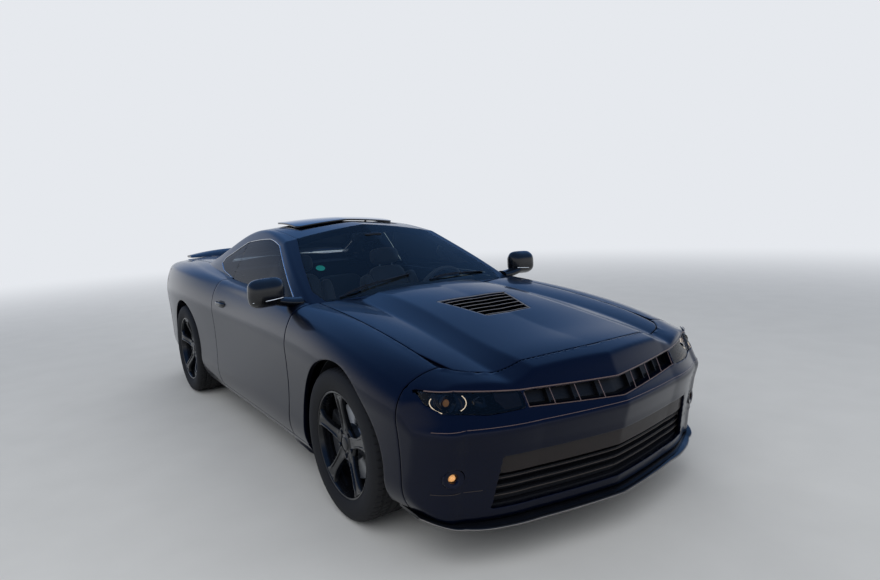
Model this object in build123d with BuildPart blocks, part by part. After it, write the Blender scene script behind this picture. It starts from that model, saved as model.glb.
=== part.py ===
from build123d import *
from collections import namedtuple
from math import cos, radians, sin
import os

# A two-door muscle coupe, drawn in millimetres. +X points to the nose, +Y to the driver's left,
# +Z up. The origin is on the ground, midway between nose and tail, on the centre plane.

os.makedirs("parts", exist_ok=True)

# Overall sizes
LENGTH = 4840.0
WHEELBASE = 2852.0
FRONT_OVERHANG = 940.0
TRACK = 1618.0
ROOF_HEIGHT = 1377.0
NOSE_X = LENGTH / 2
FRONT_AXLE_X = NOSE_X - FRONT_OVERHANG
REAR_AXLE_X = FRONT_AXLE_X - WHEELBASE
HALF_TRACK = TRACK / 2
SIDE_OUT = 1200.0

# Clearances
GAP = 5.0
RUNNING_CLEARANCE = 0.05
SEAT_GAP = 0.3

# Wheels, tyres and brakes; distances along the axle are counted outwards from the wheel's middle
TYRE_RADIUS = 364.0
FRONT_TYRE_WIDTH = 245.0
REAR_TYRE_WIDTH = 275.0
TREAD_WALL = 14.0
BEAD_RADIUS = 257.0
RIM_WALL = 11.0
BEAD_INSET = 20.0
SPOKES = 5
HUB_RADIUS = 86.0
LUG_HOLES = 5
LUG_CIRCLE_RADIUS = 60.0
LUG_HOLE_RADIUS = 11.0
CAP_RADIUS = 32.0
DISC_RADIUS = 178.0
DISC_INNER_FACE = 3.0
DISC_THICKNESS = 28.0
HUB_DISH = 84.0
SPOKE_THICKNESS = 26.0
SPINDLE_RADIUS = 26.0
SPINDLE_REACH = 56.0
ARCH_RADIUS = 410.0
LINER_WALL = 6.0
ARCH_DEPTH_FRONT = 484.0
ARCH_DEPTH_REAR = 628.0
KINGPIN_INSET = 44.0
BALL_JOINT_RISE = 145.0
BALL_PIN_RADIUS = 12.0

# Panels and cabin
SKIN = 24.0
ROOF_SKIN = 42.0
GLASS = 6.0
SCREEN_GLASS = 8.0
DOOR_INNER_Y = 745.0
DOOR_SWING_ROOM = 20.0
DOOR_FRONT_TRIM = 4.0
DOOR_STEP = 12.0
DOOR_STEP_Y = 885.0
CABIN_HALF_WIDTH = 738.0
FLOOR_Z = 215.0
FLOOR_THICKNESS = 18.0
FENDER_FRONT_X = 2010.0
DOOR_FRONT_X = 870.0
DOOR_REAR_X = -560.0
SILL_TOP_Z = 240.0
BELT_Z = 962.0
HOOD_HALF_WIDTH = 695.0
HOOD_REAR_X = 925.0
HOOD_SWEEP = 75.0
HOOD_FRONT_X = 2215.0
REAR_CUT_X = -2045.0
TRUNK_FRONT_X = -1575.0
TRUNK_SWEEP = 40.0
TRUNK_HALF_WIDTH = 640.0
TRUNK_LIP_Z = 905.0
FIREWALL_X = 925.0
FIREWALL_THICKNESS = 18.0
COWL_SHELF_Z = 875.0
COWL_X = 868.0
BULKHEAD_X = -1150.0
HEADER_X = 120.0
ROOF_REAR_X = -800.0
ROOF_HALF_WIDTH = 505.0
TRUNK_FLOOR_Z = 400.0
JACK_PAD_X = (720.0, -840.0)
JACK_PAD_Y = 790.0
JACK_PAD_Z = 155.0

# Rear number plate: its recess and the four holes for its bolts
PLATE_RECESS_X = -2404.0
PLATE_RECESS_HALF = 165.0
PLATE_RECESS_Z = (560.0, 735.0)
PLATE_HOLE_SPACING = (177.8, 120.6)
PLATE_HOLE_RADIUS = 3.0

# Cross-sections of the lower body, from the sill up to the centre line of hood, cowl and deck
Station = namedtuple(
    "Station",
    "x floor sill_y sill_z low_y low_z crease_y crease_z shoulder_y shoulder_z"
    " edge_y edge_z valley_y valley_z dome_y dome_z crown_z",
)
STATIONS = [
    Station(2480, 195, 700, 225, 770, 330, 815, 560, 770, 650, 640, 672, 470, 676, 330, 690, 700),
    Station(2000, 185, 850, 215, 905, 360, 915, 610, 868, 748, 700, 800, 520, 800, 400, 830, 842),
    Station(1480, 170, 890, 205, 935, 360, 947, 690, 888, 850, 712, 890, 500, 884, 370, 918, 928),
    Station(1000, 165, 885, 200, 928, 370, 928, 722, 866, 898, 715, 938, 480, 934, 345, 970, 984),
    Station(400, 165, 880, 200, 922, 380, 910, 730, 850, 915, 790, 958, 480, 968, 340, 972, 976),
    Station(-450, 165, 880, 200, 922, 390, 912, 748, 852, 940, 790, 980, 480, 990, 340, 994, 998),
    Station(-1000, 170, 885, 205, 930, 400, 936, 770, 880, 975, 780, 1012, 480, 1028, 340, 1034, 1038),
    Station(-1450, 175, 885, 210, 935, 400, 949, 782, 895, 1000, 750, 1040, 470, 1052, 330, 1058, 1062),
    Station(-2000, 190, 850, 225, 905, 400, 925, 790, 862, 1008, 710, 1048, 460, 1060, 320, 1066, 1070),
    Station(-2480, 215, 740, 260, 800, 400, 850, 760, 800, 985, 680, 1035, 440, 1052, 300, 1060, 1064),
]
# How far each stretch of a section bows outwards, from the sill to the centre line
SECTION_BOWS = (6, 16, -5, 16, 12, 5, -3, 6)
SILL_TURN = 60.0

# Nose and tail outlines seen from above, by height: the centre line's front and rear end
End = namedtuple("End", "z front_x rear_x")
END_LEVELS = [
    End(100, 2330, -2320),
    End(185, 2350, -2335),
    End(300, 2362, -2362),
    End(500, 2395, -2405),
    End(585, NOSE_X, -2418),
    End(612, 2400, -NOSE_X),
    End(720, 2345, -2414),
    End(765, 2325, -2382),
    End(940, 2240, -2376),
    End(1000, 2210, -2404),
    End(1200, 2150, -2400),
]

# Cross-sections of the cabin above the belt: side foot, roof rail and crown
CabinStation = namedtuple("CabinStation", "x foot_y rail_y rail_z crown_z")
CABIN_FOOT_Z = 820.0
WINDSHIELD_STATIONS = [
    CabinStation(980, 830, 770, 838, 926),
    CabinStation(540, 815, 712, 1045, 1143),
    CabinStation(HEADER_X, 808, 604, 1245, 1350),
]
ROOF_STATIONS = [
    CabinStation(HEADER_X, 808, 604, 1245, 1350),
    CabinStation(-200, 808, 566, 1300, ROOF_HEIGHT),
    CabinStation(-800, 812, 566, 1262, 1316),
    CabinStation(-1200, 815, 640, 1120, 1180),
    CabinStation(-1560, 815, 690, 1005, 1054),
    CabinStation(-1900, 815, 720, 890, 935),
]
SIDE_BOW = 14.0
RAIL_TURN = 46.0


def save(part, name):
    """Labels a finished piece and writes it as its own file."""
    part.label = name
    export_step(part, f"parts/{name}.step")


def mirrored(part):
    """The same piece on the car's right side."""
    with BuildPart() as other_side:
        mirror(part, about=Plane.XZ)
    return other_side.part


def save_pair(part, name):
    """Writes a piece of the left side and its mirror image on the right."""
    save(part, f"{name}_left")
    save(mirrored(part), f"{name}_right")


def prism(outline, plane, amount, both=False):
    """Extrudes an outline off a plane."""
    with BuildPart() as tool:
        with BuildSketch(plane):
            add(outline)
        extrude(amount=amount, both=both)
    return tool.part


def block(x0, x1, y0, y1, z0, z1):
    """A box between two corners."""
    with BuildPart() as tool:
        with BuildSketch(Plane.XY.offset(z0)):
            with Locations(((x0 + x1) / 2, (y0 + y1) / 2)):
                Rectangle(x1 - x0, y1 - y0)
        extrude(amount=z1 - z0)
    return tool.part


def polygon(*points):
    """A closed outline through the given points."""
    with BuildSketch() as shape:
        with BuildLine():
            Polyline(*points, close=True)
        make_face()
    return shape.sketch_local


def grown(outline, amount):
    """An outline widened by a clearance."""
    with BuildSketch() as shape:
        add(outline)
        offset(amount=amount, kind=Kind.INTERSECTION)
    return shape.sketch_local


# Body forms


def body_section(s, inset):
    """One closed cross-section of the lower body, its skin taken in by the inset."""
    points = [
        (s.sill_y - SILL_TURN - inset, s.floor - 2 * inset),
        (s.sill_y - inset, s.sill_z - 2 * inset),
        (s.low_y - inset, s.low_z),
        (s.crease_y - inset, s.crease_z - inset / 3),
        (s.shoulder_y - inset * 0.8, s.shoulder_z - inset * 0.6),
        (s.edge_y - inset / 3, s.edge_z - inset),
        (s.valley_y, s.valley_z - inset),
        (s.dome_y, s.dome_z - inset),
        (0, s.crown_z - inset),
    ]
    with BuildSketch() as section:
        with BuildLine():
            Line((0, points[0][1]), points[0])
            for start, end, bow in zip(points, points[1:], SECTION_BOWS):
                SagittaArc(start, end, -bow)
            mirror(about=Plane.YZ)
        make_face()
    return section.sketch_local


def end_section(front_x, rear_x, inset=0.0):
    """The body's outline from above at one height, taken in by the inset."""
    front = front_x - inset
    rear = rear_x + inset
    corner = 740 - inset / 2
    side = 1000 - inset
    with BuildSketch() as section:
        with BuildLine():
            SagittaArc((front, 0), (front - 70, 430), -6)
            SagittaArc((front - 70, 430), (front - 175, corner), -16)
            SagittaArc((front - 175, corner), (front - 620, side), -60)
            Line((front - 620, side), (rear + 520, side))
            SagittaArc((rear + 520, side), (rear + 110, corner), -50)
            SagittaArc((rear + 110, corner), (rear, 0), -30)
            mirror(about=Plane.XZ)
        make_face()
    return section.sketch_local


def cabin_section(s, inset):
    """One closed cross-section of the cabin, its wall taken in by the inset."""
    foot = (s.foot_y - inset, CABIN_FOOT_Z - 2 * inset)
    rail = (s.rail_y - inset, s.rail_z - inset)
    turn = (rail[0] - RAIL_TURN, rail[1] + RAIL_TURN * 0.55)
    with BuildSketch() as section:
        with BuildLine():
            Line((0, foot[1]), foot)
            SagittaArc(foot, rail, -SIDE_BOW)
            SagittaArc(rail, turn, -9)
            SagittaArc(turn, (0, s.crown_z - inset), -8)
            mirror(about=Plane.YZ)
        make_face()
    return section.sketch_local


def cabin_solid(inset):
    """The cabin's outer form, or with an inset the space inside it."""
    with BuildPart() as front:
        for s in WINDSHIELD_STATIONS:
            with BuildSketch(Plane.YZ.offset(s.x)):
                add(cabin_section(s, inset))
        loft()
    with BuildPart() as whole:
        for s in ROOF_STATIONS:
            with BuildSketch(Plane.YZ.offset(s.x)):
                add(cabin_section(s, inset))
        loft()
        add(front.part)
    return whole.part


def end_solid(inset):
    """The upright form that bounds the body at its nose and tail, taken in by the inset."""
    with BuildPart() as form:
        for level in END_LEVELS:
            with BuildSketch(Plane.XY.offset(level.z - inset)):
                add(end_section(level.front_x, level.rear_x, inset))
        loft(ruled=True)
    return form.part


def body_solid(inset):
    """The lower body's outer form, or with an inset the space inside its skin."""
    with BuildPart() as form:
        for station in STATIONS:
            with BuildSketch(Plane.YZ.offset(station.x)):
                add(body_section(station, inset))
        loft()
        add(end_solid(inset), mode=Mode.INTERSECT)
    return form.part


body = body_solid(0)
core = body_solid(SKIN)

cabin = cabin_solid(0)
with BuildPart() as cabin_shell:
    add(cabin)
    add(cabin_solid(ROOF_SKIN), mode=Mode.SUBTRACT)


def panel(tool):
    """The body's skin where a tool covers it."""
    with BuildPart() as piece:
        add(tool)
        add(body, mode=Mode.INTERSECT)
        add(core, mode=Mode.SUBTRACT)
    return piece.part


def wheel_wells(depth, front=True, rear=True):
    """The space of the wheel openings, from the given distance off the centre plane outwards."""
    with BuildPart() as wells:
        for axle_x, wanted in ((FRONT_AXLE_X, front), (REAR_AXLE_X, rear)):
            if wanted:
                with BuildSketch(Plane.XZ.offset(-depth)):
                    with Locations((axle_x, TYRE_RADIUS)):
                        Circle(ARCH_RADIUS)
                    with Locations((axle_x, TYRE_RADIUS / 2)):
                        Rectangle(2 * ARCH_RADIUS, TYRE_RADIUS)
                extrude(amount=depth - SIDE_OUT)
    return wells.part


# Outlines of the panels: side views are drawn in X and Z, plan views in X and Y
door_outline = polygon(
    (DOOR_FRONT_X - 12, SILL_TOP_Z),
    (DOOR_FRONT_X, 520),
    (DOOR_FRONT_X - 25, 905),
    (DOOR_FRONT_X - 60, 1100),
    (DOOR_REAR_X - 40, 1100),
    (DOOR_REAR_X - 40, 905),
    (DOOR_REAR_X, 640),
    (DOOR_REAR_X + 55, SILL_TOP_Z),
)

with BuildSketch() as window_sketch:
    with BuildLine():
        Polyline((655, BELT_Z - 10), (60, 1240))
        SagittaArc((60, 1240), (-160, 1275), -4)
        SagittaArc((-160, 1275), (-640, 1243), -6)
        Polyline(
            (-640, 1243), (-1010, 1118), (-1035, 1078), (-900, 1030), (-640, 994), (-560, BELT_Z + 4), (655, BELT_Z - 10)
        )
    make_face()
window_outline = window_sketch.sketch_local

with BuildSketch() as hood_sketch:
    with BuildLine():
        half, side_x = HOOD_HALF_WIDTH, HOOD_REAR_X - HOOD_SWEEP
        SagittaArc((HOOD_REAR_X, 0), (side_x, half), -12)
        Line((side_x, half), (HOOD_FRONT_X - 250, half))
        SagittaArc((HOOD_FRONT_X - 250, half), (HOOD_FRONT_X - 95, half - 120), 26)
        SagittaArc((HOOD_FRONT_X - 95, half - 120), (HOOD_FRONT_X, 0), 22)
        mirror(about=Plane.XZ)
    make_face()
hood_outline = hood_sketch.sketch_local

with BuildSketch() as trunk_sketch:
    with BuildLine():
        Line((TRUNK_FRONT_X, 0), (TRUNK_FRONT_X + TRUNK_SWEEP, TRUNK_HALF_WIDTH))
        Line((TRUNK_FRONT_X + TRUNK_SWEEP, TRUNK_HALF_WIDTH), (-NOSE_X - 100, TRUNK_HALF_WIDTH))
        Line((-NOSE_X - 100, TRUNK_HALF_WIDTH), (-NOSE_X - 100, 0))
        mirror(about=Plane.XZ)
    make_face()
trunk_outline = trunk_sketch.sketch_local

with BuildSketch() as windshield_sketch:
    with BuildLine():
        Line((HEADER_X, 0), (HEADER_X - 4, 500))
        SagittaArc((HEADER_X - 4, 500), (700, 668), 8)
        Line((700, 668), (820, 640))
        SagittaArc((820, 640), (885, 0), 12)
        mirror(about=Plane.XZ)
    make_face()
windshield_outline = windshield_sketch.sketch_local

with BuildSketch() as rear_window_sketch:
    with BuildLine():
        Line((ROOF_REAR_X, 0), (ROOF_REAR_X, 470))
        Line((ROOF_REAR_X, 470), (-1440, 590))
        Line((-1440, 590), (-1525, 0))
        mirror(about=Plane.XZ)
    make_face()
rear_window_outline = rear_window_sketch.sketch_local

roof_outline = polygon(
    (HEADER_X - GAP, -ROOF_HALF_WIDTH), (HEADER_X - GAP, ROOF_HALF_WIDTH), (ROOF_REAR_X, ROOF_HALF_WIDTH), (ROOF_REAR_X, -ROOF_HALF_WIDTH)
)
sunroof_outline = polygon((-60, -400), (-60, 400), (-480, 400), (-480, -400))

# The door's front edge stands back, and its inner part is narrower than its skin, so that both pass as it swings
with BuildSketch() as door_skin_sketch:
    add(door_outline)
    add(door_outline.moved(Location((-DOOR_FRONT_TRIM, 0, 0))), mode=Mode.INTERSECT)
with BuildSketch() as door_inner_sketch:
    add(door_skin_sketch.sketch_local)
    add(door_outline.moved(Location((DOOR_STEP, 0, 0))), mode=Mode.INTERSECT)
with BuildPart() as door_form:
    add(prism(door_skin_sketch.sketch_local, Plane.XZ.offset(-DOOR_STEP_Y), DOOR_STEP_Y - SIDE_OUT))
    add(prism(door_inner_sketch.sketch_local, Plane.XZ.offset(-DOOR_INNER_Y), DOOR_INNER_Y - DOOR_STEP_Y - 1))
door_prism = door_form.part
door_room = prism(grown(door_outline, GAP), Plane.XZ.offset(-CABIN_HALF_WIDTH), CABIN_HALF_WIDTH - SIDE_OUT)
door_swing = prism(grown(door_outline, DOOR_SWING_ROOM), Plane.XZ.offset(-CABIN_HALF_WIDTH), CABIN_HALF_WIDTH - 850)
hood_prism = prism(hood_outline, Plane.XY.offset(620), 600)
hood_room = prism(grown(hood_outline, GAP), Plane.XY.offset(COWL_SHELF_Z + FIREWALL_THICKNESS), 600)
hood_room_front = prism(grown(hood_outline, GAP), Plane.XY.offset(620), 600)
trunk_prism = prism(trunk_outline, Plane.XY.offset(TRUNK_LIP_Z), 400)
trunk_room = prism(grown(trunk_outline, GAP), Plane.XY.offset(TRUNK_LIP_Z - GAP), 400)
windshield_prism = prism(windshield_outline, Plane.XY.offset(700), 800)
rear_window_prism = prism(rear_window_outline, Plane.XY.offset(700), 800)
roof_prism = prism(roof_outline, Plane.XY.offset(700), 800)
window_prism = prism(window_outline, Plane.XZ, -SIDE_OUT)
window_room = prism(grown(window_outline, GAP), Plane.XZ.offset(-300), 300 - SIDE_OUT)

# Hinges. A door turns on two pins, held by arms of the hinge pillar in pockets of the door's front
DOOR_AXIS = (820.0, 905.0)
DOOR_HINGE_Z = (400.0, 760.0)
DOOR_PIN_RADIUS = 7.0
DOOR_PIN_HALF = 40.0
DOOR_BOSS_RADIUS = 8.0
ARM_HALF_HEIGHT = 20.0
POCKET_HALF_HEIGHT = 26.0
LID_PIN_RADIUS = 5.0
LID_PIN_HALF = 26.0
LID_POST_HALF = 10.0
LID_POST_WIDTH = 12.0
HOOD_AXIS = (877.0, 932.0)
HOOD_HINGE_Y = 600.0
TRUNK_AXIS = (-1610.0, 1049.0)
TRUNK_HINGE_Y = 330.0
HOOD_NOTCH = 17.0
TRUNK_NOTCH = 62.0
SHELF_Z = 985.0


def door_hinges(pocket):
    """The arms and pins that carry a door, or the pockets and bores that take them."""
    x, y = DOOR_AXIS
    with BuildPart() as hinges:
        for z in DOOR_HINGE_Z:
            half = POCKET_HALF_HEIGHT if pocket else ARM_HALF_HEIGHT
            with BuildSketch(Plane.XY.offset(z - half)):
                if pocket:
                    add(polygon((x - 20, 893), (x - 14, 914), (x + 12, 914), (885, 896), (885, 785), (x - 20, 785)))
                else:
                    add(polygon((x - 8, 795), (900, 795), (900, 815), (x + 8, 815), (x + 8, y), (x - 8, y)))
                    with Locations((x, y)):
                        Circle(DOOR_BOSS_RADIUS)
            extrude(amount=2 * half)
            with BuildSketch(Plane.XY.offset(z - DOOR_PIN_HALF)):
                with Locations((x, y)):
                    Circle(DOOR_PIN_RADIUS + (RUNNING_CLEARANCE if pocket else 0))
            extrude(amount=2 * DOOR_PIN_HALF)
    return hinges.part


def lid_hinges(axis, hinge_y, foot_z, pocket, edge, notch=0.0):
    """The posts and pins that carry the hood or the trunk lid, or the notches that take them."""
    x, z = axis
    with BuildPart() as hinges:
        for sign in (1, -1):
            middle = sign * hinge_y
            if pocket:
                x0, x1 = sorted((x - edge * notch, x + edge * 12))
                add(block(x0, x1, middle - LID_POST_HALF - GAP, middle + LID_POST_HALF + GAP, foot_z, z + 8))
            else:
                add(
                    block(
                        x - LID_POST_WIDTH / 2,
                        x + LID_POST_WIDTH / 2,
                        middle - LID_POST_HALF,
                        middle + LID_POST_HALF,
                        foot_z,
                        z,
                    )
                )
                with BuildSketch(Plane.XZ.offset(-middle)):
                    with Locations((x, z)):
                        Circle(LID_POST_WIDTH / 2)
                extrude(amount=LID_POST_HALF, both=True)
            with BuildSketch(Plane.XZ.offset(-middle)):
                with Locations((x, z)):
                    Circle(LID_PIN_RADIUS + (RUNNING_CLEARANCE if pocket else 0))
            extrude(amount=LID_PIN_HALF, both=True)
    return hinges.part


# Hood with the opening of its vent
VENT_FRONT_X = 1660.0
VENT_REAR_X = 1340.0
VENT_FRONT_HALF = 150.0
VENT_REAR_HALF = 235.0
VENT_RIM = 12.0
VENT_SINK = 3.0
LOUVRES = 3
LOUVRE_WIDTH = 26.0
vent_outline = polygon(
    (VENT_FRONT_X, VENT_FRONT_HALF), (VENT_REAR_X, VENT_REAR_HALF), (VENT_REAR_X, -VENT_REAR_HALF), (VENT_FRONT_X, -VENT_FRONT_HALF)
)

with BuildPart() as hood:
    add(panel(hood_prism))
    add(prism(vent_outline, Plane.XY.offset(600), 600), mode=Mode.SUBTRACT)
    add(lid_hinges(HOOD_AXIS, HOOD_HINGE_Y, 880, pocket=True, edge=1, notch=HOOD_NOTCH), mode=Mode.SUBTRACT)
save(hood.part, "hood")

with BuildSketch() as vent_sketch:
    add(vent_outline)
    add(grown(vent_outline, -VENT_RIM), mode=Mode.SUBTRACT)
    for n in range(1, LOUVRES + 1):
        with Locations((VENT_REAR_X + n * (VENT_FRONT_X - VENT_REAR_X) / (LOUVRES + 1), 0)):
            Rectangle(LOUVRE_WIDTH, 2 * VENT_REAR_HALF)
    add(vent_outline, mode=Mode.INTERSECT)
hood_vent = panel(prism(vent_sketch.sketch_local, Plane.XY.offset(600), 600)).moved(Location((0, 0, -VENT_SINK)))
save(hood_vent, "hood_vent")

# Windows
under_glass = cabin_solid(SCREEN_GLASS)
with BuildPart() as windshield:
    add(cabin)
    add(under_glass, mode=Mode.SUBTRACT)
    add(windshield_prism, mode=Mode.INTERSECT)
save(windshield.part, "windshield")

with BuildPart() as rear_window:
    add(cabin)
    add(under_glass, mode=Mode.SUBTRACT)
    add(rear_window_prism, mode=Mode.INTERSECT)
save(rear_window.part, "rear_window")

GLASS_SPLIT_X = -596.0
with BuildPart() as side_glass:
    add(cabin)
    add(cabin_solid(GLASS), mode=Mode.SUBTRACT)
    add(block(-1200, 800, 300, SIDE_OUT, 800, 1400), mode=Mode.INTERSECT)

with BuildPart() as door_glass:
    add(side_glass.part)
    add(window_prism, mode=Mode.INTERSECT)
    add(
        prism(
            polygon((GLASS_SPLIT_X + 10, 800), (1200, 800), (1200, 1400), (GLASS_SPLIT_X - 30, 1400)),
            Plane.XZ,
            -SIDE_OUT,
        ),
        mode=Mode.INTERSECT,
    )
save_pair(door_glass.part, "door_glass")

with BuildPart() as quarter_glass:
    add(side_glass.part)
    add(window_room, mode=Mode.INTERSECT)
    add(
        prism(
            polygon((GLASS_SPLIT_X + 10 - GAP, 800), (GLASS_SPLIT_X - 30 - GAP, 1400), (-1300, 1400), (-1300, 800)),
            Plane.XZ,
            -SIDE_OUT,
        ),
        mode=Mode.INTERSECT,
    )
    add(door_room, mode=Mode.SUBTRACT)
save_pair(quarter_glass.part, "quarter_glass")

# Doors
with BuildPart() as door:
    add(door_prism)
    add(body, mode=Mode.INTERSECT)
    add(door_glass.part, mode=Mode.SUBTRACT)
    add(door_hinges(pocket=True), mode=Mode.SUBTRACT)
save_pair(door.part, "door")

# Front fenders
with BuildPart() as fender:
    add(panel(block(DOOR_FRONT_X - 100, FENDER_FRONT_X - GAP, HOOD_HALF_WIDTH + GAP, SIDE_OUT, SILL_TOP_Z, 1200)))
    add(door_room, mode=Mode.SUBTRACT)
    add(cabin, mode=Mode.SUBTRACT)
    add(wheel_wells(400, rear=False), mode=Mode.SUBTRACT)
save_pair(fender.part, "front_fender")

# Roof and its sunroof
with BuildPart() as roof:
    add(cabin_shell.part)
    add(roof_prism, mode=Mode.INTERSECT)
    add(prism(sunroof_outline, Plane.XY.offset(1000), 600), mode=Mode.SUBTRACT)
save(roof.part, "roof_panel")

# Body sides: A-pillar, roof rail, rear pillar, quarter and sill
with BuildPart() as door_opening:
    add(door_room)
    add(body.moved(Location((0, 0, GAP))), mode=Mode.INTERSECT)

with BuildPart() as upper_side:
    add(cabin_shell.part)
    add(block(-1550, COWL_X, 0, SIDE_OUT, 800, 1500), mode=Mode.INTERSECT)
    add(windshield_prism, mode=Mode.SUBTRACT)
    add(rear_window_prism, mode=Mode.SUBTRACT)
    add(roof_prism, mode=Mode.SUBTRACT)
    add(window_room, mode=Mode.SUBTRACT)
    add(hood_room, mode=Mode.SUBTRACT)
    add(block(-1600, -1430, -10, 596, 800, 1500), mode=Mode.SUBTRACT)
    add(block(COWL_X - 34, COWL_X, -10, HOOD_HALF_WIDTH - GAP, 800, HOOD_AXIS[1] + 13), mode=Mode.SUBTRACT)

with BuildPart() as body_side:
    add(
        prism(
            polygon(
                (REAR_CUT_X, TRUNK_HALF_WIDTH - 60),
                (REAR_CUT_X, SIDE_OUT),
                (DOOR_FRONT_X - 105, SIDE_OUT),
                (DOOR_FRONT_X - 105, CABIN_HALF_WIDTH),
                (BULKHEAD_X, CABIN_HALF_WIDTH),
                (BULKHEAD_X, TRUNK_HALF_WIDTH - 60),
            ),
            Plane.XY,
            1300,
        )
    )
    add(body, mode=Mode.INTERSECT)
    # The trunk's side is hollow inside the quarter panel
    with BuildPart(mode=Mode.PRIVATE) as quarter_hollow:
        add(block(-2500, BULKHEAD_X, 500, CABIN_HALF_WIDTH, 0, 1300))
        add(core, mode=Mode.INTERSECT)
    add(quarter_hollow.part, mode=Mode.SUBTRACT)
    with BuildPart(mode=Mode.PRIVATE) as hinge_pillar:
        add(block(DOOR_FRONT_X - 105, FIREWALL_X + FIREWALL_THICKNESS, CABIN_HALF_WIDTH, SIDE_OUT, 0, 1300))
        add(core, mode=Mode.INTERSECT)
    add(hinge_pillar.part)
    with BuildPart(mode=Mode.PRIVATE) as front_sill:
        add(
            block(
                DOOR_FRONT_X - 106, FRONT_AXLE_X - ARCH_RADIUS - 10, CABIN_HALF_WIDTH, SIDE_OUT, 0, SILL_TOP_Z - GAP
            )
        )
        add(body, mode=Mode.INTERSECT)
    add(front_sill.part)
    add(door_room, mode=Mode.SUBTRACT)
    add(upper_side.part)
    add(door_opening.part, mode=Mode.SUBTRACT)
    add(door_swing, mode=Mode.SUBTRACT)
    add(trunk_room, mode=Mode.SUBTRACT)
    add(wheel_wells(CABIN_HALF_WIDTH - 200, front=False), mode=Mode.SUBTRACT)
    add(quarter_glass.part, mode=Mode.SUBTRACT)
    add(door_hinges(pocket=False))
    for x in JACK_PAD_X:
        add(block(x - 30, x + 30, JACK_PAD_Y - 30, JACK_PAD_Y + 30, JACK_PAD_Z, 180))
save_pair(body_side.part, "body_side")

# Forms nested inside the skin, to set lamps and grilles behind it at even depths
DEPTHS = (0, 10, 40, 50)
nose = {}
tail = {}
for depth in DEPTHS:
    form = end_solid(SKIN + depth)
    nose[depth] = form & block(1850, NOSE_X + 50, -SIDE_OUT, SIDE_OUT, 130, 1000)
    tail[depth] = form & block(-NOSE_X - 50, -2050, -SIDE_OUT, SIDE_OUT, 130, 1100)


def layer(forms, near, far, tool):
    """The part of a tool that lies between two depths behind the skin."""
    with BuildPart() as slab:
        add(tool)
        add(forms[near], mode=Mode.INTERSECT)
        add(forms[far], mode=Mode.SUBTRACT)
    return slab.part


# Nose: bumper cover, grilles and lamps. These outlines are drawn in Y and Z
GRILLE_HALF = 470.0
LAMP_INNER_Y = 480.0
LAMP_SPLIT_Y = (GRILLE_HALF + LAMP_INNER_Y) / 2
grille_outline = polygon(
    (-GRILLE_HALF, 650), (0, 620), (GRILLE_HALF, 650), (GRILLE_HALF, 712), (0, 694), (-GRILLE_HALF, 712)
)
lamp_outline = polygon(
    (LAMP_INNER_Y, 650), (640, 644), (800, 664), (846, 700), (852, 748), (660, 728), (LAMP_INNER_Y, 712)
)
LOWER_GRILLE_TOP_Z = 470.0
LOWER_GRILLE_FLOOR_Z = 245.0
lower_grille_outline = polygon(
    (-625, LOWER_GRILLE_FLOOR_Z), (625, LOWER_GRILLE_FLOOR_Z), (590, LOWER_GRILLE_TOP_Z), (-590, LOWER_GRILLE_TOP_Z)
)
FOG_Y = 775.0
FOG_Z = 400.0
FOG_RADIUS = 42.0
with BuildSketch() as fog_sketch:
    with Locations((FOG_Y, FOG_Z)):
        Circle(FOG_RADIUS)
fog_outline = fog_sketch.sketch_local
NOSE_TOOL_X = FENDER_FRONT_X + 2
NOSE_PLANE = Plane.YZ.offset(NOSE_TOOL_X)
NOSE_REACH = 600.0

with BuildPart() as front_bumper:
    add(panel(block(FENDER_FRONT_X, NOSE_X + 50, -SIDE_OUT, SIDE_OUT, 0, 1200)))
    add(hood_room_front, mode=Mode.SUBTRACT)
    add(prism(grille_outline, NOSE_PLANE, NOSE_REACH), mode=Mode.SUBTRACT)
    add(prism(lower_grille_outline, NOSE_PLANE, NOSE_REACH), mode=Mode.SUBTRACT)
    lamp_tool = prism(lamp_outline, NOSE_PLANE, NOSE_REACH)
    fog_tool = prism(fog_outline, NOSE_PLANE, NOSE_REACH)
    for tool in (lamp_tool, mirrored(lamp_tool), fog_tool, mirrored(fog_tool)):
        add(tool, mode=Mode.SUBTRACT)
save(front_bumper.part, "front_bumper")

FRAME_LAP = 9.0
GRILLE_DEPTH = 34.0
RIB_WIDTH = 6.0
RIB_PLACES = (100.0, 225.0, 345.0)
MESH_SLOT = (30.0, 13.0)
MESH_BAR = 4.0
MESH_DEPTH = 64.0
MESH_THICKNESS = 10.0
with BuildSketch() as rib_sketch:
    add(grown(grille_outline, FRAME_LAP))
    add(grille_outline, mode=Mode.SUBTRACT)
    for rib_y in RIB_PLACES:
        for sign in (1, -1):
            with Locations((sign * rib_y, 665)):
                Rectangle(RIB_WIDTH, 120)
    add(grown(grille_outline, FRAME_LAP), mode=Mode.INTERSECT)
with BuildSketch() as mesh_sketch:
    add(grown(grille_outline, FRAME_LAP))
    with Locations((0, 668)):
        with GridLocations(MESH_SLOT[0] + MESH_BAR, MESH_SLOT[1] + MESH_BAR, 28, 6):
            Rectangle(*MESH_SLOT, mode=Mode.SUBTRACT)
    with Locations((GRILLE_HALF, 668)):
        Rectangle(2 * GRILLE_HALF, 200, mode=Mode.INTERSECT)
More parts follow.
